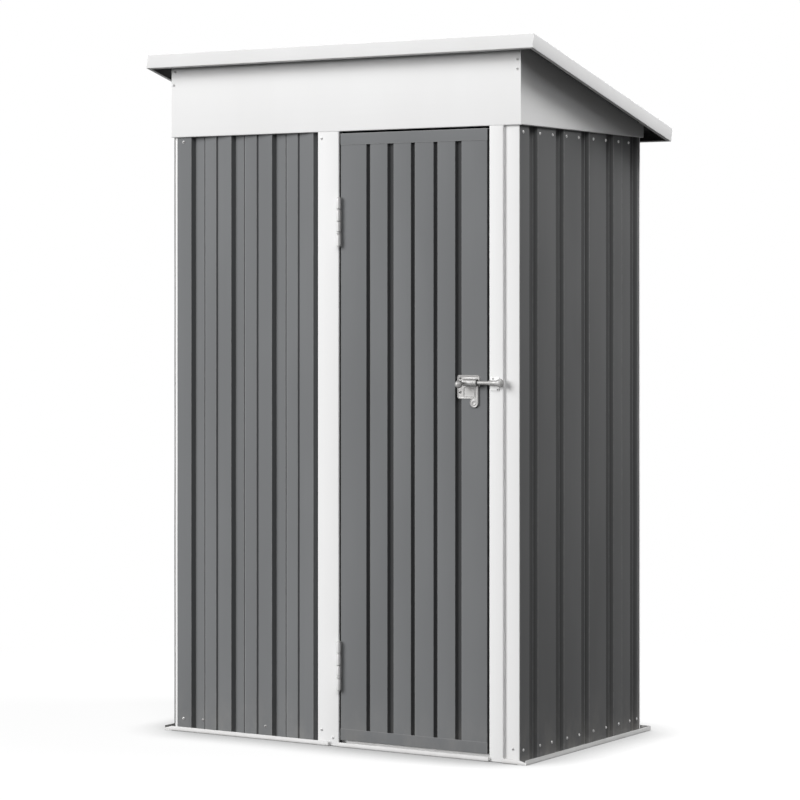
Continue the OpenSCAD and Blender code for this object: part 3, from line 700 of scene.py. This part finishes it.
def lip_outline(outer, inner):
    """Outer lip and floor of a rail, with a point where the slanted end starts."""
    return [(outer, RAIL_LIP), (outer, RAIL_CORNER), (outer, 0), (inner, 0)]


def upright_outline(outer, inner):
    """Floor and inner upright of a rail."""
    return [(outer, 0), (inner, 0), (inner, RAIL_UPRIGHT)]


def slanted(face):
    """Where the front rail ends: at the side rail, drawn back above the corner's height."""
    reach = lip_x - POST_SHEET
    return reach - np.maximum(face[:, 1] - RAIL_CORNER, 0) * (reach - side_x) / (RAIL_LIP - RAIL_CORNER)


# The front lip is interrupted where the feet of the two door posts pass it.
FOOT = 0.030
lip_spans = ((lambda f: -slanted(f), hinge_high[0] - FOOT), (hinge_high[0], latch_low[0]),
             (latch_high[0], slanted))
upright_span = (-side_x + RIB_DEPTH + SHEET, side_x - RIB_DEPTH - SHEET)
front_lip = lip_outline(lip_y, front_y - LIP_AIR)
front_parts = [rail_strip(front_lip, POST_SHEET, Y, X, span) for span in lip_spans]
front_parts.append(rail_strip(upright_outline(front_y, inner_y), POST_SHEET, Y, X, upright_span))
made("base_channel_front", front_parts, "rail", "root", ["base_rail_front"])
made("base_channel_back", [
    rail_strip(lip_outline(back_lip, back_y + LIP_AIR), -POST_SHEET, Y, X,
               (-lip_x + POST_SHEET, lip_x - POST_SHEET)),
    rail_strip(upright_outline(back_y, back_inner), -POST_SHEET, Y, X, upright_span)],
    "rail", "root", ["base_rail_back"])
made_pair("base_channel_right", [
    rail_strip(lip_outline(lip_x, side_x + LIP_AIR), -POST_SHEET, X, Y, (lip_y, back_lip)),
    rail_strip(upright_outline(side_x, side_inner), -POST_SHEET, X, Y, (inner_y, back_inner))],
    "rail", "base_rail_right")

# ---- fascia and gables

SLOPE = math.radians(14.4)
FLANGE = 0.020
_, fascia_y, eave = low("fascia_front")
fascia_x, _, fascia_top = high("fascia_front")
back_fascia_y = high("fascia_back")[1]


def under_roof(y):
    """Height of what the roof sheets rest on."""
    return fascia_top - (y - fascia_y) * math.tan(SLOPE)


def band_outline(outer, flange, top_inner, top_outer, foot):
    """Upper flange, face and lower flange, from the inside at the top to the inside at the foot."""
    return [(flange, top_inner), (outer, top_outer), (outer, eave), (foot, eave)]


for end, thick, outer, top, foot, inward in (
        ("front", SHEET, fascia_y, fascia_top, front_y, FLANGE),
        ("back", -SHEET, back_fascia_y, under_roof(back_fascia_y), back_y, -FLANGE)):
    outline = band_outline(outer, foot + inward, under_roof(foot + inward), top, foot)
    band = carried(outline, thick, ORIGIN, Y, Z, X, (-fascia_x, fascia_x), rows=24)
    made(f"fascia_band_{end}", [band], "white", "root", [f"fascia_{end}"])

gable_ends = []
for place in (fascia_y + SHEET, back_fascia_y - SHEET):
    top = under_roof(place)
    gable_ends.append((band_outline(fascia_x, side_x - FLANGE, top, top, side_x), place * Y, X, Z))
made_pair("gable_panel_right", [sheet_between(*gable_ends, -SHEET, rows=20)], "white", "gable_right")

# ---- roof

roof_half, _, roof_z = high("roof_edge_front")
down = np.array([0, math.cos(SLOPE), -math.sin(SLOPE)])
up = np.array([0, math.sin(SLOPE), math.cos(SLOPE)])
TRIM, TRIM_LIP, TRIM_RETURN, TRIM_BEND = 0.038, 0.022, 0.010, 0.0012
RIB_HIGH, ROOF_RIB = 0.008, 0.030
roof_front_y = low("roof_edge_front")[1] + TRIM * math.sin(SLOPE)
roof_origin = np.array([0, roof_front_y, roof_z])
roof_run = (high("roof_edge_back")[1] - roof_front_y) / math.cos(SLOPE)
reach = roof_half - POST_SHEET
panel = 2 * reach / 3
rib_pitch = panel / 4
pan = -POST_SHEET - RIB_HIGH
rib_half, crown_half = ROOF_RIB / 2, ROOF_RIB / 2 - RIB_RUN
roof_outline = [(0, pan)]
for place in (np.arange(4) + 0.5) * rib_pitch:
    roof_outline += [(place - rib_half, pan), (place - crown_half, -POST_SHEET),
                     (place + crown_half, -POST_SHEET), (place + rib_half, pan)]
roof_outline.append((panel, pan))
for index, side in enumerate(("left", "middle", "right")):
    made(f"roof_ribbed_{side}", [carried(
        roof_outline, -SHEET, roof_origin + X * (index * panel - reach), X, up, down,
        (POST_SHEET, roof_run - POST_SHEET), rows=30)], "roof", "root", [f"roof_sheet_{side}"])

trim_outline = [(TRIM_LIP, 0), (0, 0), (0, -TRIM), (TRIM_RETURN, -TRIM)]


def trim(origin, inward, along, length):
    """A channel round the roof's edge, mitred at both ends: it starts and stops one outline
    depth in from its corners."""
    # The channel's back is painted dark all over: a painted shade under the roof's edge.
    return carried(trim_outline, POST_SHEET, origin, inward, up, along,
                   (lambda f: f[:, 0], lambda f: length - f[:, 0]), radius=TRIM_BEND, rows=16,
                   inside=0.85)


def on_roof(x, run):
    """A point at the height of the roof's trim, some way down its slope."""
    return roof_origin + x * X + run * down


for end, run, inward in (("front", 0, down), ("back", roof_run, -down)):
    edge_part = trim(on_roof(-roof_half, run), inward, X, 2 * roof_half)
    made(f"roof_trim_{end}", [edge_part], "trim", "root", [f"roof_edge_{end}"])
made_pair("roof_trim_right", [trim(on_roof(roof_half, 0), -X, down, roof_run)], "trim", "roof_edge_right")

# ---- door

door_low, door_high = box_of("door_sheet")
door_left, door_right = door_low[0], door_high[0]
door_width = door_right - door_left
door_face = hinge_low[1]
DOOR_DEPTH, DOOR_PITCH, DOOR_GROOVE = 0.012, 0.0677, 0.007
door_outline = [(0, DOOR_DEPTH), (0, 0)]
for index, width in enumerate((0.012, 0.019, 0.012, 0.012, 0.019)):
    middle = door_width / 2 + (index - 2) * DOOR_PITCH
    door_outline += groove(middle, width / 2 - 0.003, 0.003, DOOR_GROOVE)
door_outline += [(door_width, 0), (door_width, DOOR_DEPTH)]
# Its grooves are painted dark, a painted shade in them.
made("door_skin", [carried(door_outline, SHEET, np.array([door_left, door_face, 0]), X, Y, Z,
                           (door_low[2], door_high[2]), radius=DOOR_BEND, rows=WALL_ROWS, sway=0.0002,
                           dark=0.78, drag=6)],
     "grey", "door", ["door_sheet"])
CAP_OVER = 0.0003
for side, node in ((1, "door_rail_top"), (-1, "door_rail_bottom")):
    (_, y0, z0), (_, y1, z1) = box_of(node)
    web, edge = (z1, z0) if side == 1 else (z0, z1)
    outline = [(y1, edge), (y1, web), (y0, web), (y0, edge)]
    made("door_cap_" + ("top" if side == 1 else "bottom"),
         [carried(outline, SHEET * side, ORIGIN, Y, Z, X, (door_left - CAP_OVER, door_right + CAP_OVER),
                  radius=DOOR_BEND, rows=8)], "grey", "door", [node])

# ---- hinges

KNUCKLE_ENDS = np.array([0, 0.25, 0.51, 0.76, 1])
HINGE_GAP, LEAF = 0.0063, 0.0019
KNUCKLE_AIR, KNUCKLE_EASE = 0.0009, 0.0016


def knuckle(centre, start, end, size):
    """A rolled knuckle: a short cylinder round the pin, its eased rims painted dark, a painted shade in the
    joints.
    """
    points, faces, notes = turned(
        [(0, start), (size - KNUCKLE_EASE, start), (size, start + KNUCKLE_EASE),
         (size, end - KNUCKLE_EASE), (size - KNUCKLE_EASE, end), (0, end)], centre, Z, 40, radius=0.0005)
    return points, faces, notes * (1, 1, -1)


for place in ("upper", "lower"):
    leaf_low, leaf_high = box_of(f"hinge_{place}_door_leaf")
    length = leaf_high[2] - leaf_low[2]
    size = (door_face - leaf_low[1] - 0.0005) / 2
    centre = np.array([(hinge_high[0] + door_left) / 2, leaf_low[1] + size, leaf_low[2]])
    ends = KNUCKLE_ENDS * length
    pin = turned([(0, -0.0021), (0.0036, -0.0021), (0.0042, -0.0012), (0.0042, -0.0002), (0.0030, -0.0001),
                  (0.0030, length + 0.0001), (0.0042, length + 0.0002), (0.0042, length + 0.0012),
                  (0.0036, length + 0.0019), (0, length + 0.0019)], centre, Z, 32)
    rim = KNUCKLE_AIR / 2
    washer = 0.0055
    post_parts = [pin, knuckle(centre, ends[0], ends[1] - rim, size),
                  knuckle(centre, ends[2] + rim, ends[3] - rim, size)]
    door_parts = [knuckle(centre, ends[1] + rim, ends[1] + washer - rim, size + 0.0002),
                  knuckle(centre, ends[1] + washer + rim, ends[2] - rim, size),
                  knuckle(centre, ends[3] + rim, ends[4], size)]
    for parts, side, name in ((post_parts, -1, "post"), (door_parts, 1, "door")):
        # A leaf runs from the knuckle's side into the gap between post and door.
        outer = side * (HINGE_GAP / 2 - 0.0001)
        outline = [(outer * 0.2 + centre[0], centre[1] - size * 0.55),
                   (outer + centre[0], centre[1] + size * 0.2),
                   (outer + centre[0], high(f"hinge_{place}_{name}_leaf")[1])]
        parts.append(carried(outline, LEAF * side, np.array([0, 0, centre[2]]), X, Y, Z,
                             (0.0004, length - 0.0004), radius=0.004, rows=4))
        made(f"hinge_{place}_{name}_side", parts, "hinge", "root" if name == "post" else "door",
             [f"hinge_{place}_{name}_leaf"])

# ---- latch

plate_low, plate_high = box_of("latch_plate")
bolt_low, bolt_high = box_of("latch_bolt")
keeper_left = low("latch_keeper")[0]
PLATE, ROD, STAND_OFF = 0.0015, 0.005, 0.008
rod_z = 0.953
rod_y = door_face - PLATE - STAND_OFF
BARREL = 0.0086
plate_left, plate_top, plate_foot = plate_low[0], plate_high[2], plate_low[2]
plate_right = plate_left + 0.067
barrel_left, barrel_right = plate_left + 0.024, plate_right - 0.012
ring_left = barrel_right + 0.0005
ring_right = ring_left + 0.008


def rounded_rows(left, right, foot, top, radius, rows):
    """Heights and the two edges of a plate with round corners. Near the foot and top the edges
    come in by the radius less the root of its square less the square of what is left of it."""
    heights = foot + (top - foot) * crowded(rows)
    near = np.clip(radius - np.minimum(heights - foot, top - heights), 0, radius)
    inset = radius - np.sqrt(np.maximum(radius ** 2 - near ** 2, 0))
    return left + inset, right - inset, heights


def corner_distance(x, z, left, right, foot, top, radius):
    """Distance in from the rim of a plate with round corners."""
    dx = np.maximum(np.maximum(left + radius - x, x - right + radius), 0)
    dz = np.maximum(np.maximum(foot + radius - z, z - top + radius), 0)
    inside = np.minimum(np.minimum(x - left, right - x), np.minimum(z - foot, top - z))
    return np.where((dx > 0) & (dz > 0), radius - np.hypot(dx, dz), inside)


def hump(value, middle, width):
    """A smooth hump: e to the minus square of the distance from its middle, over its width."""
    return np.exp(-((value - middle) / width) ** 2)


def dark_bore(profile, centre, axis, radius):
    """A turned ring whose bore is painted dark as a painted shade: the points that are nearer its axis
    than its points are on average."""
    points, faces, notes = turned(profile, centre, axis, 48, radius)
    out = points - centre
    far = np.linalg.norm(out - (out @ axis)[:, None] * axis, axis=1)
    return points, faces, np.column_stack([notes[:, :2], np.where(far < far.mean(), -1, notes[:, 2])])


PLATE_CORNER = 0.007
plate_box = (plate_left, plate_right, plate_foot, plate_top)
panel_box = (plate_left + 0.019, plate_right - 0.0165, plate_foot + 0.006, rod_z - 0.0108)


def plate_rise(x, z, inside):
    """Front of the latch plate: a rolled rim, a soft ridge just inside it, a smooth sunk panel
    with its own lip, dimples round the two screws and a swell under the barrel."""
    rim = corner_distance(x, z, *plate_box, PLATE_CORNER)
    rise = PLATE * np.sqrt(np.clip(rim / 0.0011, 0, 1)) * 0.8
    rise = rise + 0.0009 * hump(rim, 0.0019, 0.0012)
    panel_in = corner_distance(x, z, *panel_box, 0.004)
    rise = rise + 0.0006 * hump(panel_in, 0.0, 0.0009) - 0.0005 * np.clip(panel_in / 0.0015, 0, 1)
    swell = np.clip(1 - ((z - rod_z) / 0.0125) ** 2, 0, 1)
    swell = swell * np.clip((x - barrel_left + 0.002) / 0.003, 0, 1)
    rise = rise + 0.0012 * swell * np.clip((barrel_right - x) / 0.002, 0, 1)
    for screw_z in PLATE_SCREWS_Z:
        rise = rise - 0.0006 * hump(np.hypot(x - plate_screw_x, z - screw_z), 0, 0.0036)
    return rise


plate_screw_x = plate_left + 0.0088
PLATE_SCREWS_Z = (rod_z + 0.0108, rod_z - 0.0248)
left, right, heights = rounded_rows(*plate_box, PLATE_CORNER, 90)
# Below the ring its right edge is cut back, and the hasp hangs past it.
right = right - 0.009 * np.clip((rod_z - 0.0095 - heights) / 0.003, 0, 1)
plate_part = pressed(left, right, heights, door_face, plate_rise, 96)

# The barrel is an arch pressed over the rod. Its feet run out into the plate.
arch_angle = np.radians(np.linspace(-12, 192, 19))
arch = [(rod_z - 0.0125, 0.0014), (rod_z - 0.0098, 0.0018)]
arch += [(rod_z - BARREL * math.cos(a), STAND_OFF + PLATE + BARREL * math.sin(a)) for a in arch_angle]
arch += [(rod_z + 0.0098, 0.0018), (rod_z + 0.0125, 0.0014)]
barrel_part = carried(arch, -0.0011, np.array([0, door_face, 0]), Z, -Y, X,
                      (barrel_left, barrel_right), radius=0.0022, rows=6)
SLEEVE, BORE, SLEEVE_LONG = 0.0074, 0.0067, 0.0102
sleeve_part = dark_bore(
    [(SLEEVE, 0.004), (SLEEVE, 0.0), (BORE, 0.0), (BORE, SLEEVE_LONG), (SLEEVE, SLEEVE_LONG),
     (SLEEVE, 0.004)], (barrel_right - 0.001, rod_y, rod_z), X, radius=0.0002)
made("latch_pressed_plate", [plate_part, barrel_part, sleeve_part], "part", "door", ["latch_plate"], sharp=40)

# The knob's stem leans a little down about the rod.
BALL, STEM, LEAN = 0.010, 0.0030, math.radians(13)
knob_reach = rod_y - bolt_low[1] - BALL
knob_axis = np.array([0, math.cos(LEAN), math.sin(LEAN)])
knob_centre = np.array([barrel_left - 0.0040, rod_y, rod_z]) - knob_reach * knob_axis
angle = np.radians(np.linspace(-90, 72, 15))
ball = [(0, -BALL)] + [(BALL * math.cos(a), BALL * math.sin(a)) for a in angle[1:]]
ball += [(STEM, BALL + 0.0005), (STEM, knob_reach), (0, knob_reach)]
knob_part = turned(ball, knob_centre, knob_axis, 40)
rod_start = plate_left + 0.011
rod_length = bolt_high[0] - rod_start
# A fine groove is turned round the rod near its end.
rod_part = turned([(0, 0), (ROD - 0.0006, 0), (ROD, 0.0006), (ROD, rod_length - 0.0065),
                   (ROD - 0.0004, rod_length - 0.0062), (ROD - 0.0004, rod_length - 0.0055),
                   (ROD, rod_length - 0.0052), (ROD, rod_length - 0.003),
                   (ROD - 0.0018, rod_length - 0.0004), (0, rod_length)],
                  (rod_start, rod_y, rod_z), X, 40, radius=0.0006)
made("latch_rod_and_knob", [rod_part, knob_part], "part", "bolt", ["latch_bolt"], sharp=40)

RING, RING_BORE, RING_LONG = 0.009, 0.0077, 0.008
ring_part = dark_bore(
    [(RING_BORE, 0.004), (RING_BORE, 0.0), (RING - 0.0004, 0.0), (RING, 0.0006), (RING, 0.0074),
     (RING - 0.0004, RING_LONG), (RING_BORE, RING_LONG), (RING_BORE, 0.004)],
    (ring_left, rod_y, rod_z), X, radius=0.0005)
# The strap's edges: round the pad below, and straight up to the ring above.
PAD, HASP = 0.0125, 0.002
strap_face = door_face - PLATE - 0.001 - HASP
pad_x, pad_z = ring_right - PAD, rod_z - 0.051
strap_top, strap_foot = rod_z - 0.0065, pad_z - PAD
heights = strap_foot + (strap_top - strap_foot) * crowded(110)
disc = np.sqrt(np.maximum(PAD ** 2 - (heights - pad_z) ** 2, 0))
climb = np.clip((heights - pad_z - 0.006) / (strap_top - pad_z - 0.006), 0, 1)
strap_left = ring_left - 0.0035 * (1 - climb)
above, beyond = heights > pad_z, heights >= pad_z + PAD
right = np.where(above, ring_right, pad_x + disc)
left = np.where(beyond, strap_left, np.where(above, np.minimum(pad_x - disc, strap_left), pad_x - disc))


def strap_rise(x, z, inside):
    """Front of the hasp: rolled edges with a ridge inside them, and a round pad with an embossed
    ring and a dimple in its middle."""
    around = np.hypot(x - pad_x, z - pad_z)
    rim = np.where(z < pad_z, np.maximum(PAD - around, 0), inside)
    rise = HASP * (0.35 + 0.65 * np.sqrt(np.clip(rim / 0.0010, 0, 1)))
    rise = rise + 0.0006 * hump(rim, 0.0017, 0.0009)
    rise = rise + 0.0007 * hump(around, 0.0058, 0.0011) - 0.0004 * hump(around, 0, 0.0028)
    return rise - 0.0004


strap_part = pressed(left, right, heights, strap_face + HASP, strap_rise)
made("latch_hasp_strap", [ring_part, strap_part], "part", "hasp", ["latch_hasp"], sharp=40)

keeper_box = (keeper_left, keeper_left + 0.027, rod_z - 0.0205, rod_z + 0.0145)


def keeper_rise(x, z, inside):
    """Front of the keeper's plate: a rolled rim and a swell where the cup is pressed out."""
    rim = corner_distance(x, z, *keeper_box, 0.003)
    rise = PLATE * np.sqrt(np.clip(rim / 0.0010, 0, 1)) * 0.9
    return rise + 0.0010 * hump(z, rod_z, 0.006)


left, right, heights = rounded_rows(*keeper_box, 0.003, 60)
keeper_plate = pressed(left, right, heights, door_face, keeper_rise, 50)
# The cup's outside, from its open end to its tip, and its bore. Its back is cut off flat.
cup = [(0.0057, 0.012), (0.0057, 0.0), (0.0072, 0.0), (0.0072, 0.0025), (0.0066, 0.0045),
       (0.0064, 0.014), (0.0068, 0.0185), (0.0098, 0.0270), (0.0110, 0.0305), (0.0104, 0.0345),
       (0.0070, 0.0378), (0.0035, 0.0390), (0, 0.0391), (0, 0.030), (0.0057, 0.030), (0.0057, 0.012)]
cup_part = turned(cup, (keeper_left + 0.002, rod_y, rod_z), X, 48, radius=0.003, arc=4)
cup_part[0][:, 1] = np.minimum(cup_part[0][:, 1], door_face)
made("latch_keeper_plate", [keeper_plate], "hinge", "root", ["latch_keeper"], sharp=40)
made("latch_keeper_cup", [cup_part], "part", "root", sharp=40)

# ---- screws


def screw_head(size, socket=False):
    """A pan head on its washer with a cross recess. Rings of twelve points: every third point of
    the two rings before the last lies in a groove of the cross, and a socket sinks the inner
    rings further. The recess and the washer's foot are painted dark, a painted shade, and the head's rim
    light, a painted highlight."""
    rings = np.array([(1.00, -0.10), (1.00, 0.10), (0.78, 0.16), (0.74, 0.40), (0.56, 0.56), (0.26, 0.60),
                      (0.0, 0.60)])
    turn = np.arange(13) * math.pi / 6
    radius = np.broadcast_to(rings[:, :1], (7, 13))
    height = np.broadcast_to(rings[:, 1:], (7, 13)).copy()
    arm = np.arange(13) % 3 == 0
    height[4, arm] = 0.34
    height[5, arm] = 0.26
    height[6] = 0.22
    if socket:
        height[5:] = 0.10
    grid = np.stack([radius * np.cos(turn), radius * np.sin(turn), height], -1) * size / 2
    inner = np.arange(7)[:, None] > 3
    # Painted shade in the cross and at the washer's foot; a painted highlight on the head's rim.
    marks = np.where((height < 0) | inner & (height < 0.4), -0.9, 0)
    marks[3] = 0.5
    notes = np.stack([grid[..., 0].ravel(), grid[..., 1].ravel(), marks.ravel()], 1)
    return grid.reshape(-1, 3), quads(np.arange(7 * 13).reshape(7, 13)), notes


draw = np.random.default_rng(7)


def screws(name, places, outward, size=0.0078, body="root", finish="screw", socket=False):
    """Screw heads at many places, all facing one way and each turned by its own angle."""
    points, faces, notes = screw_head(size, socket)
    places = np.asarray(places, float)
    outward = np.asarray(outward, float)
    side, other = square_to(outward)
    angle = draw.uniform(0, math.pi / 2, len(places))[:, None]
    first = np.cos(angle) * side + np.sin(angle) * other
    second = np.cos(angle) * other - np.sin(angle) * side
    axes = np.stack([first, second, np.broadcast_to(outward, first.shape)], 1)
    cloud = places[:, None] + np.einsum("pk,nkj->npj", points, axes)
    numbers = faces[None] + (np.arange(len(places)) * len(points))[:, None, None]
    made(name, [(cloud.reshape(-1, 3), numbers.reshape(-1, 4), np.tile(notes, (len(places), 1)))],
         finish, body, sharp=50)


TOP_ROW, FOOT_ROW = 1.583, 0.033
side_top = np.array([17, 103, 169, 243, 309, 390, 459, 531, 589]) / 1000
side_foot = np.array([17, 103, 165, 246, 311, 389, 460, 533, 596, 641]) / 1000


def depth_at(place, grooves):
    """How deep a ribbed sheet lies at a place: the rib's depth on a groove's floor, running out
    evenly over the flanks."""
    away = np.abs(np.asarray(place)[:, None] - grooves).min(1)
    return np.clip((WALL_GROOVE / 2 + RIB_RUN - away) / RIB_RUN, 0, 1) * RIB_DEPTH


def side_places(distances, height):
    """Screw places on the right wall at some distances behind the front."""
    depth = depth_at(distances, side_grooves)
    return np.stack([side_x - depth, front_y + distances, np.full(len(distances), height)], 1)


side_screws = np.vstack([side_places(side_top, TOP_ROW), side_places(side_foot, FOOT_ROW)])
screws("right_wall_screws", side_screws, X, 0.0082)
screws("left_wall_screws", side_screws * (-1, 1, 1), -X, 0.0082)

back_at = np.array([0.034, 0.1035, 0.172, 0.241, 0.3095, 0.378, 0.447, 0.512])
back_depth = depth_at(back_at, back_grooves)
rows = [np.stack([sign * back_at, back_y - back_depth, np.full(len(back_at), height)], 1)
        for height in (TOP_ROW, FOOT_ROW) for sign in (1, -1)]
screws("back_wall_screws", np.vstack(rows), Y, 0.0082)

line = np.array(front_outline)
front_at = np.array([0.021, 0.021, 0.080, 0.287])
front_depth = np.interp(front_at, line[:, 0], line[:, 1])
front_heights = np.array([TOP_ROW + 0.004] + [FOOT_ROW] * 3)
front_places = np.stack([sheet_left + front_at, front_y + front_depth, front_heights], 1)
screws("front_wall_screws_bright", front_places[:2], -Y, 0.0078)
# These two take the darker latch metal, a shaded copy of the screws' finish: painted shade.
screws("front_wall_screws_painted_shade", front_places[2:], -Y, 0.0074, finish="part")

corner_face = low("corner_post_front_right")[1]
screws("post_screws", [
    (hinge_low[0] + 0.012, door_face, 1.583), (hinge_low[0] + 0.012, door_face, 0.040),
    (hinge_high[0] - 0.018, door_face, 0.022),
    (side_x - 0.021, corner_face, 0.036)], -Y, 0.0078, finish="white")

fascia_screws = [(-fascia_x + 0.007, fascia_y, eave + 0.141), (-fascia_x + 0.012, fascia_y, eave + 0.177),
                 (fascia_x - 0.010, fascia_y, eave + 0.140), (fascia_x - 0.010, fascia_y, eave + 0.164)]
screws("fascia_screws_front", fascia_screws, -Y, 0.0078, finish="white")
back_fascia_screws = [(x, back_fascia_y, eave + 0.008) for x in (-fascia_x + 0.012, fascia_x - 0.012)]
screws("fascia_screws_back", back_fascia_screws, Y, 0.0070, finish="white")

LIP_IN = 0.014
roof_places = []
for share in np.linspace(0.04, 0.96, 9):
    for run in (LIP_IN, roof_run - LIP_IN):
        roof_places.append(on_roof((2 * share - 1) * roof_half, run))
for share in np.linspace(0.12, 0.88, 6):
    for sign in (-1, 1):
        roof_places.append(on_roof(sign * (roof_half - LIP_IN), roof_run * share))
screws("roof_trim_screws", roof_places, up, 0.0078, finish="white")
crowns = [on_roof(index * panel - reach + (rib + 0.5) * rib_pitch, roof_run / 2) - POST_SHEET * up
          for index in range(3) for rib in range(4)]
screws("roof_rib_screws", crowns, up, 0.0100)

plate_screws = [(plate_screw_x, door_face - PLATE * 0.8, z) for z in PLATE_SCREWS_Z]
screws("latch_plate_screws", plate_screws, -Y, 0.0076, "door", "part", socket=True)
screws("keeper_screws", [(keeper_left + 0.008, door_face - PLATE, rod_z + 0.0105),
                         (keeper_left + 0.0215, door_face - PLATE, rod_z - 0.0165)],
       -Y, 0.0056, finish="hinge", socket=True)

# CAD nodes that stay get the finish of what they are.
for node, thing in frame["nodes"].items():
    thing.data.materials.clear()
    kind = "grey" if node.startswith(("door_stile", "door_brace")) else "white"
    thing.data.materials.append(FINISHES[kind][0])

# ---- floor, light and camera


def seen_rays(net):
    """1 for rays from the camera and for what a mirror or a clear piece shows it, 0 for others."""
    path = net.add("LightPath").outputs
    bounced = net.math("MAXIMUM", path["Is Glossy Ray"], path["Is Transmission Ray"])
    return net.math("MAXIMUM", path["Is Camera Ray"], bounced)


# The floor is a level square that glows nearly white, less so close to the shed, and turns
# wholly white further off. Rays that aren't seen find it dim.
HALF, FLOOR_Z = 60, -0.0002
mesh = bpy.data.meshes.new("floor")
mesh.from_pydata([(-HALF, -HALF, FLOOR_Z), (HALF, -HALF, FLOOR_Z), (HALF, HALF, FLOOR_Z),
                  (-HALF, HALF, FLOOR_Z)], [], [(0, 1, 2, 3)])
floor = placed("floor", mesh)
floor_paint, net = started("floor_paint")
net.tree.nodes.clear()
diffuse = net.add("BsdfDiffuse", Color=(0.18, 0.18, 0.18, 1)).outputs[0]
dim = net.add("BsdfDiffuse", Color=(0.10, 0.10, 0.10, 1)).outputs[0]
# Ambient occlusion dims the glow next to the shed: a painted contact shadow.
near = net.add("AmbientOcclusion", {"samples": 8}, Distance=0.16).outputs["AO"]
strength = net.times(net.math("POWER", near, 1.4), 0.86)
glow = net.add("Emission", Color=(1, 1, 1, 1), Strength=strength).outputs[0]
white = net.add("Emission", Color=(1, 1, 1, 1), Strength=1.0).outputs[0]
place = net.add("TexCoord").outputs["Object"]
away = net.add("VectorMath", {"operation": "LENGTH"}, _0=place).outputs["Value"]
far = net.between(away, 0.9, 2.2)
lit = net.add("AddShader", _0=diffuse, _1=glow).outputs[0]
shown = net.add("MixShader", _0=far, _1=lit, _2=white).outputs[0]
surface = net.add("MixShader", _0=seen_rays(net), _1=dim, _2=shown).outputs[0]
net.add("OutputMaterial", Surface=surface)
floor.data.materials.append(floor_paint)

world = bpy.data.worlds.new("studio")
world.use_nodes = True
net = Net(world.node_tree)
net.tree.nodes.clear()
# The background is white where it is seen, and gives only a little light.
AMBIENT = 0.07
strength = net.plus(net.times(seen_rays(net), 1 - AMBIENT), AMBIENT)
background = net.add("Background", Color=(1, 1, 1, 1), Strength=strength).outputs[0]
net.add("OutputWorld", Surface=background)
bpy.context.scene.world = world


def softbox(name, place, width, height, power):
    """A soft four-sided lamp that looks at the shed's middle, 0.9 m up."""
    lamp = bpy.data.lights.new(name, "AREA")
    lamp.shape = "RECTANGLE"
    lamp.size, lamp.size_y = width, height
    lamp.energy = power
    thing = placed(name, lamp)
    thing.location = place
    way = Vector((0, 0, 0.9)) - Vector(place)
    thing.rotation_euler = way.to_track_quat("-Z", "Y").to_euler()


softbox("key_softbox", (-12.9, -12.9, 7.6), 10.0, 12.5, 4080)
softbox("fill_softbox", (5.0, -6.8, 7.8), 5.0, 5.0, 400)
softbox("side_softbox", (2.4, 1.3, 5.0), 2.0, 2.0, 228)

camera = bpy.data.cameras.new("camera")
camera.lens = 127.2
camera.sensor_width = 36
camera.shift_y = -0.1242
camera_thing = placed("camera", camera)
camera_thing.location = (4.0239, -6.5032, 1.1599)
camera_thing.rotation_euler = (math.radians(90), 0, math.radians(31.947))
bpy.context.scene.camera = camera_thing
bpy.context.scene.view_settings.view_transform = "Standard"
